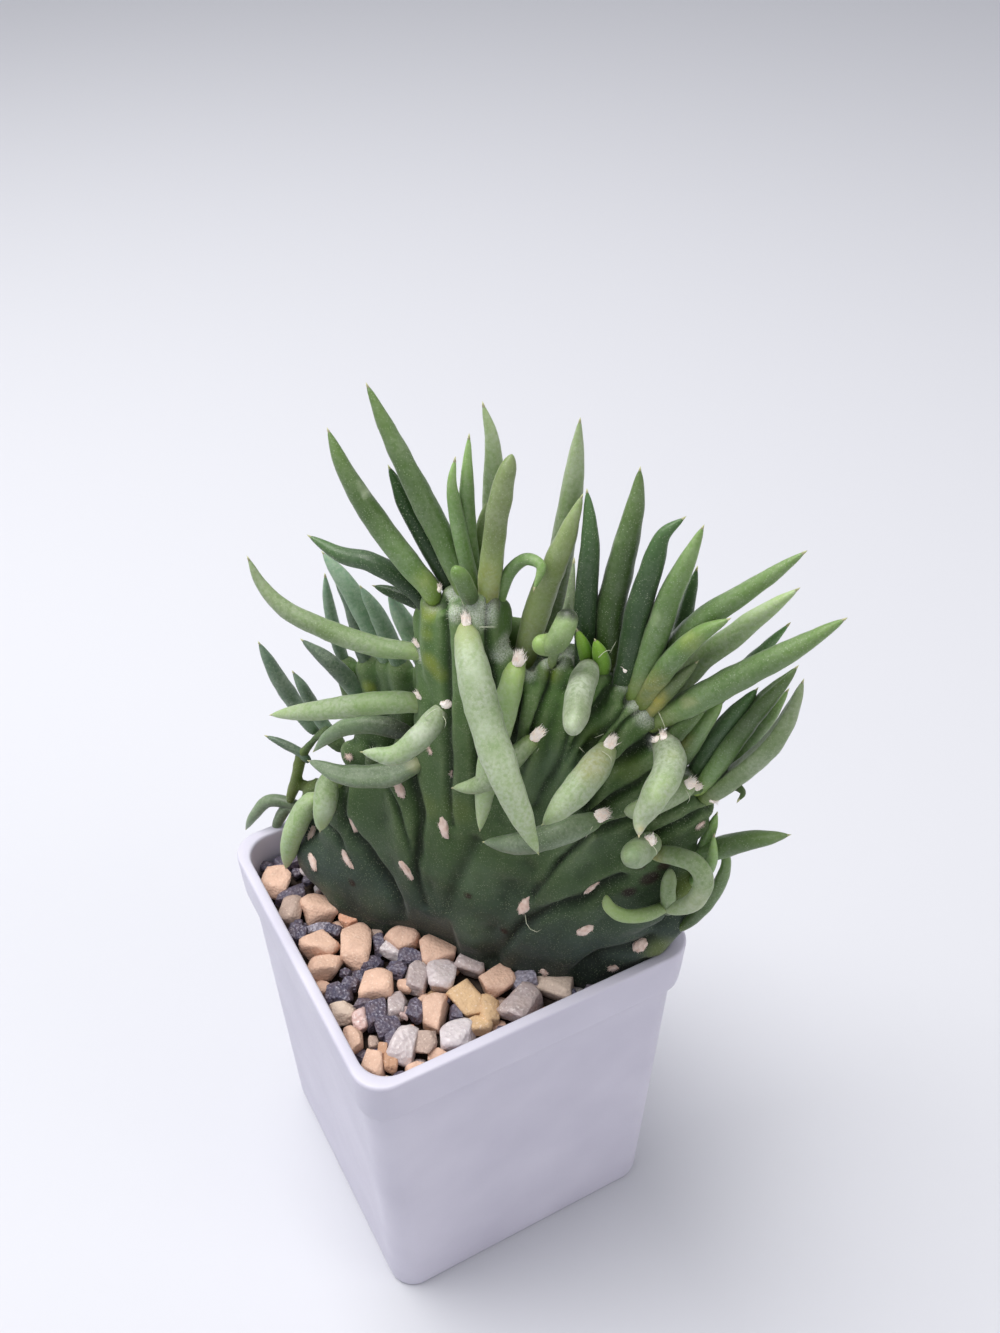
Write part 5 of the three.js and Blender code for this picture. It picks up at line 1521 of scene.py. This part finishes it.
# %% Finding a spot on the plant
plant_trees = []
for piece in [stem, *leaf_pieces]:
    bm = bmesh.new()
    bm.from_mesh(piece.data)
    bmesh.ops.scale(bm, vec=(1 / METRE,) * 3, verts=bm.verts)
    plant_trees.append(BVHTree.FromBMesh(bm))
    bm.free()
print(len(plant_trees), "pieces to find a spot on")


def first_touch(start, direction):
    """Where a ray first meets the plant, as (place, normal, face, distance), or nothing."""
    touches = [tree.ray_cast(start, direction.normalized(), sight_length) for tree in plant_trees]
    touches = [touch for touch in touches if touch[0] is not None]
    return min(touches, key=lambda touch: touch[3]) if touches else None


# %% Pads and strands
fresh_thickness, worn_thickness = 0.14, 0.07
wool_random = make_random(31)


def add_strand(bm, start, direction, length, thickness, curl):
    """One wool fibre that bends to a random side."""
    sideways = direction.orthogonal().normalized()
    sideways = Matrix.Rotation(2 * math.pi * wool_random(), 3, direction) @ sideways
    path = trace([start, start + direction * length * 0.55 + sideways * curl * 0.3 * length,
                  start + direction * length + sideways * curl * length], 3)
    draw_limb(bm, path, [(0, 0), (0.1, thickness / 2), (0.6, thickness * 0.35), (1, 0)], 3)


def add_cushion(bm, place, normal, long_way, wide, tall, thick, taper=0.0):
    """A lumpy oval pad that lies on the skin, and may taper to a point."""
    beside = normal.cross(long_way).normalized()
    upright = beside.cross(normal).normalized()
    for vert in bmesh.ops.create_icosphere(bm, subdivisions=3, radius=1)["verts"]:
        streak = noise.noise(Vector((vert.co.x * 7, vert.co.z * 7, 0)) + place)
        lump = 1 + (0.45 - 0.3 * taper) * noise.noise(vert.co * 1.9 + place) + 0.35 * taper * streak
        narrow = 1 - taper * max(0.0, vert.co.y) ** 1.3
        reach = vert.co.y * (1 + (taper * (1 + 0.5 * streak) if vert.co.y > 0 else 0))
        spread_out = (beside * vert.co.x * wide / 2 * narrow + upright * reach * tall / 2) * lump
        vert.co = place + spread_out + normal * vert.co.z * thick * lump * narrow
    return beside, upright


def add_pad(bm, place, normal, long_way, wide, tall, strands):
    """Worn wool: a smooth oval with a short fringe lying close to it."""
    beside, upright = add_cushion(bm, place, normal, long_way, wide * 0.95, tall * 0.95, 0.2 * wide)
    for _ in range(strands):
        turn, out = 2 * math.pi * wool_random(), 0.55 + 0.5 * wool_random()
        outwards = beside * math.cos(turn) * wide / 2 + upright * math.sin(turn) * tall / 2
        lifted = outwards.normalized() + normal * 0.25
        direction = (lifted + random_direction(wool_random) * 0.4).normalized()
        start = place + outwards * out * 0.8 + normal * 0.1
        add_strand(bm, start, direction, 0.35 + 0.4 * wool_random(), worn_thickness, 0.4)


def add_brush(bm, place, normal, back, wide, strands, strand_length):
    """Fresh wool: strands that start across a cushion and draw together to a point, like a wet brush."""
    beside, upright = add_cushion(bm, place, normal, back, wide * 0.85, wide * 0.8, 0.3 * wide, taper=0.85)
    aim = place + back * wide * 1.5 + normal * wide * 0.25
    for _ in range(strands):
        turn, out = 2 * math.pi * wool_random(), math.sqrt(wool_random())
        spot = place + (beside * math.cos(turn) + upright * math.sin(turn) * 0.8) * out * wide / 2
        spot += normal * 0.30 * wide * math.sqrt(1 - out * out) * (0.4 + wool_random())
        direction = ((aim - spot).normalized() + random_direction(wool_random) * 0.4).normalized()
        length = strand_length * (0.5 + 0.75 * wool_random())
        add_strand(bm, spot, direction, length, fresh_thickness, 0.3 * wool_random())


# %% Tufts at the leaf roots and pads on the low stem
# A leaf's tuft has a width and a number of strands. Other tufts sit at a pixel across and down.
root_tufts = {
    "face_giant": (1.7, 150), "face_behind_giant": (2.2, 200), "face_tucked": (2.0, 200),
    "face_middle": (2.0, 220), "face_lying": (2.4, 240), "face_right": (1.3, 80),
    "face_right_behind": (2.0, 200), "face_nose": (2.2, 220), "face_horn": (2.2, 220),
}
# A pixel across and down, a width, and the way the strands point: across and up
tuft_spots = [
    (418, 645, 1.2, -0.5, 1.0), (625, 671, 0.8, -0.4, 1.0), (420, 697, 1.2, -0.4, 1.0),
    (439, 590, 1.1, 0.4, 1.0), (697, 788, 1.1, 0.6, 0.4), (657, 739, 1.4, -0.9, 0.2),
    (711, 801, 0.8, 0.8, -0.2),
]
# A pixel across and down, how wide and how tall in millimetres, and how far it leans clockwise
pad_spots = [
    (399, 788, 1.9, 4.4, -14), (352, 822, 1.9, 4.8, -8), (444, 828, 2.0, 4.8, 8),
    (406, 870, 1.7, 4.8, -8), (347, 859, 1.7, 4.4, -24), (313, 862, 1.9, 3.8, -16),
    (312, 832, 1.4, 3.6, 10), (524, 906, 2.0, 4.2, 34), (592, 887, 2.0, 3.6, 46),
    (585, 930, 2.2, 3.4, 56), (640, 945, 2.4, 3.2, 48), (349, 757, 1.4, 1.2, 0), (700, 825, 1.2, 2.0, 20),
    (613, 968, 1.5, 2.0, 55), (544, 972, 1.5, 1.8, 10), (430, 750, 0.6, 1.4, -10),
    (452, 773, 0.5, 1.2, 0),
]
tuft_bm, pad_bm, missed = bmesh.new(), bmesh.new(), 0
all_leaves = {**pointed_leaves, **blunt_leaves}
for name, (wide, strands) in root_tufts.items():
    root, beyond = (seen_at(point) for point in all_leaves[name][2:4])
    back = (root - beyond).normalized()
    touch = first_touch(eye, root + back * 0.4 - eye)
    if touch:
        place, to_eye = touch[0], (eye - root).normalized()
        if (place - eye).length >= (root - eye).length:
            place = root + to_eye * all_leaves[name][0] * 0.35
        toward = (to_eye + Vector((0, 0, 0.9))).normalized()
        add_brush(tuft_bm, place + back * wide * 0.1, toward, back, wide, strands, 1.7)
    else:
        missed += 1
for across, down, wide, sideways, up in tuft_spots:
    touch = first_touch(eye, look_through(across, down))
    if touch:
        add_brush(tuft_bm, touch[0], touch[1], (right * sideways + upward * up).normalized(), wide, 50, 1.2)
    else:
        missed += 1
for across, down, wide, tall, slant in pad_spots:
    touch = first_touch(eye, look_through(across, down))
    if touch:
        long_way = upward * math.cos(math.radians(slant)) + right * math.sin(math.radians(slant))
        add_pad(pad_bm, touch[0], touch[1], long_way, wide, tall, 80)
    else:
        missed += 1
for knob, _ in knob_places[seen_knob_count:]:
    touch = first_touch(knob - front * 40, front)
    if touch and (touch[0] - knob).length < 6:
        add_brush(tuft_bm, touch[0], touch[1], Vector((0, 0, 1)), 1.5, 40, 1.2)
near_spots = len(root_tufts) + len(tuft_spots) + len(pad_spots)
print("Wool:", near_spots - missed, "spots seen from the front,", missed, "missed")

# %% Long fine hairs
# Stray hairs that catch the light: pixels across and down along each
stray_hairs = [
    ((479, 627), (488, 627), (498, 627)), ((594, 738), (610, 731), (629, 720)),
    ((658, 711), (663, 722), (668, 737)), ((525, 914), (528, 927), (536, 932), (542, 929)),
    ((593, 826), (589, 832), (585, 839)), ((579, 747), (585, 753)), ((610, 653), (613, 647), (617, 640)),
    ((598, 658), (606, 651), (613, 650)), ((424, 718), (432, 711), (441, 707)),
    ((464, 606), (461, 598), (462, 590)), ((602, 751), (610, 757), (612, 763)),
    ((686, 790), (690, 798), (687, 804)), ((652, 845), (656, 850), (657, 856)),
    ((539, 748), (535, 754), (530, 758)), ((443, 716), (446, 722), (444, 729)),
]
hair_bm = bmesh.new()
for pixels in stray_hairs:
    touch = first_touch(eye, look_through(*pixels[0]))
    if touch:
        in_front = fan_position(touch[0])[1]
        path = trace([seen_at((*pixel, in_front + 0.3 + 0.5 * i)) for i, pixel in enumerate(pixels)], 6)
        draw_limb(hair_bm, path, [(0, 0), (0.05, 0.07), (0.3, 0.07), (0.5, 0.06), (0.7, 0.05), (1, 0)], 5)
print(len(stray_hairs), "stray hairs")

# %% Short down
# Real down is 0.02 mm thick, and is drawn at 0.06 mm so that it shows as a soft pale edge. Its hairs
# go to the faces in the order that the mesh holds them, which can change from one run to the next.
down_random = make_random(606)
down_bm = bmesh.new()


def add_down(piece, per_square_mm, length, lowest, chosen=None):
    """Short hairs over a piece's skin, thickest where the chosen attribute says so."""
    mesh = piece.data
    layer = mesh.attributes.get(chosen) if chosen else None
    made = 0
    for polygon in mesh.polygons:
        centre = polygon.center / METRE
        if centre.z < lowest:
            continue
        share = per_square_mm * polygon.area * 1e6
        if layer:
            share *= layer.data[polygon.vertices[0]].value
        if down_random() < share:
            toward = (eye - centre).normalized()
            facing = polygon.normal.dot(toward)
            if facing > -0.5:
                direction = (polygon.normal + random_direction(down_random) * 0.5).normalized()
                tip = centre + direction * length * (0.6 + 0.8 * down_random())
                path = trace([centre, tip], 2)
                draw_limb(down_bm, path, [(0, 0), (0.2, 0.03), (1, 0)], 3)
                made += 1
    return made


downy = ("face_leaves", "left_leaves", "low_leaves", "middle_leaves")
down_count = {piece.name: add_down(piece, 0.9 if "face" in piece.name else 0.4, 0.45, 84)
              for piece in leaf_pieces if piece.name in downy}
down_count["stem"] = add_down(stem, 2.4, 0.6, 100, "felt")
print("Down:", down_count)

# %% [markdown]
# Wool is off-white with a pink cast where fresh, and browner where it is old. It is fully matt, and
# a sheen on the fibres catches the light at the edges. Fresh wool also gets painted light, a faint
# emission that brightens it.

# %% Wool finish
def wool_finish(name, fresh, worn, painted_glow=0.0):
    """Matt fibres, from fresh to worn. Fresh wool gets painted light: a faint emission that brightens it
    where little lamp light reaches.
    """
    material, tree, shader, millimetres = new_finish(name, {
        "Emission Color": linear(fresh), "Emission Strength": painted_glow, "Roughness": 0.95,
        "Sheen Weight": 0.4, "Sheen Roughness": 0.5, "Subsurface Weight": 0.15,
        "Subsurface Radius": (0.0009, 0.0008, 0.0007), "Subsurface Scale": 1.0})
    ageing = add_node(tree, "ShaderNodeTexNoise", {"Vector": millimetres, "Scale": 0.9, "Detail": 4})
    aged = spread(tree, ageing.outputs[0], 0.42, 0.68)
    tree.links.new(tint(tree, aged, fresh, worn), shader.inputs["Base Color"])
    fibres = add_node(tree, "ShaderNodeTexNoise", {"Vector": millimetres, "Scale": 6.0, "Detail": 2})
    bump = add_node(tree, "ShaderNodeBump", {
        "Height": fibres.outputs[0], "Strength": 0.6, "Distance": 0.0002})
    tree.links.new(bump.outputs["Normal"], shader.inputs["Normal"])
    return material


fresh_wool = wool_finish("fresh_areole_wool", "#fff6ef", "#f6e2d6", painted_glow=0.16)
old_wool = wool_finish("worn_areole_wool", "#eed6c9", "#dbb9a8")
pale_hair = wool_finish("pale_plant_hair", "#d9dcc0", "#c3caa6")
wool_pieces = [finish_piece("areole_tufts", tuft_bm, fresh_wool),
               finish_piece("areole_pads", pad_bm, old_wool),
               finish_piece("stray_hairs", hair_bm, pale_hair),
               finish_piece("leaf_down", down_bm, pale_hair)]
for piece in wool_pieces:
    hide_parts("crested_cactus")
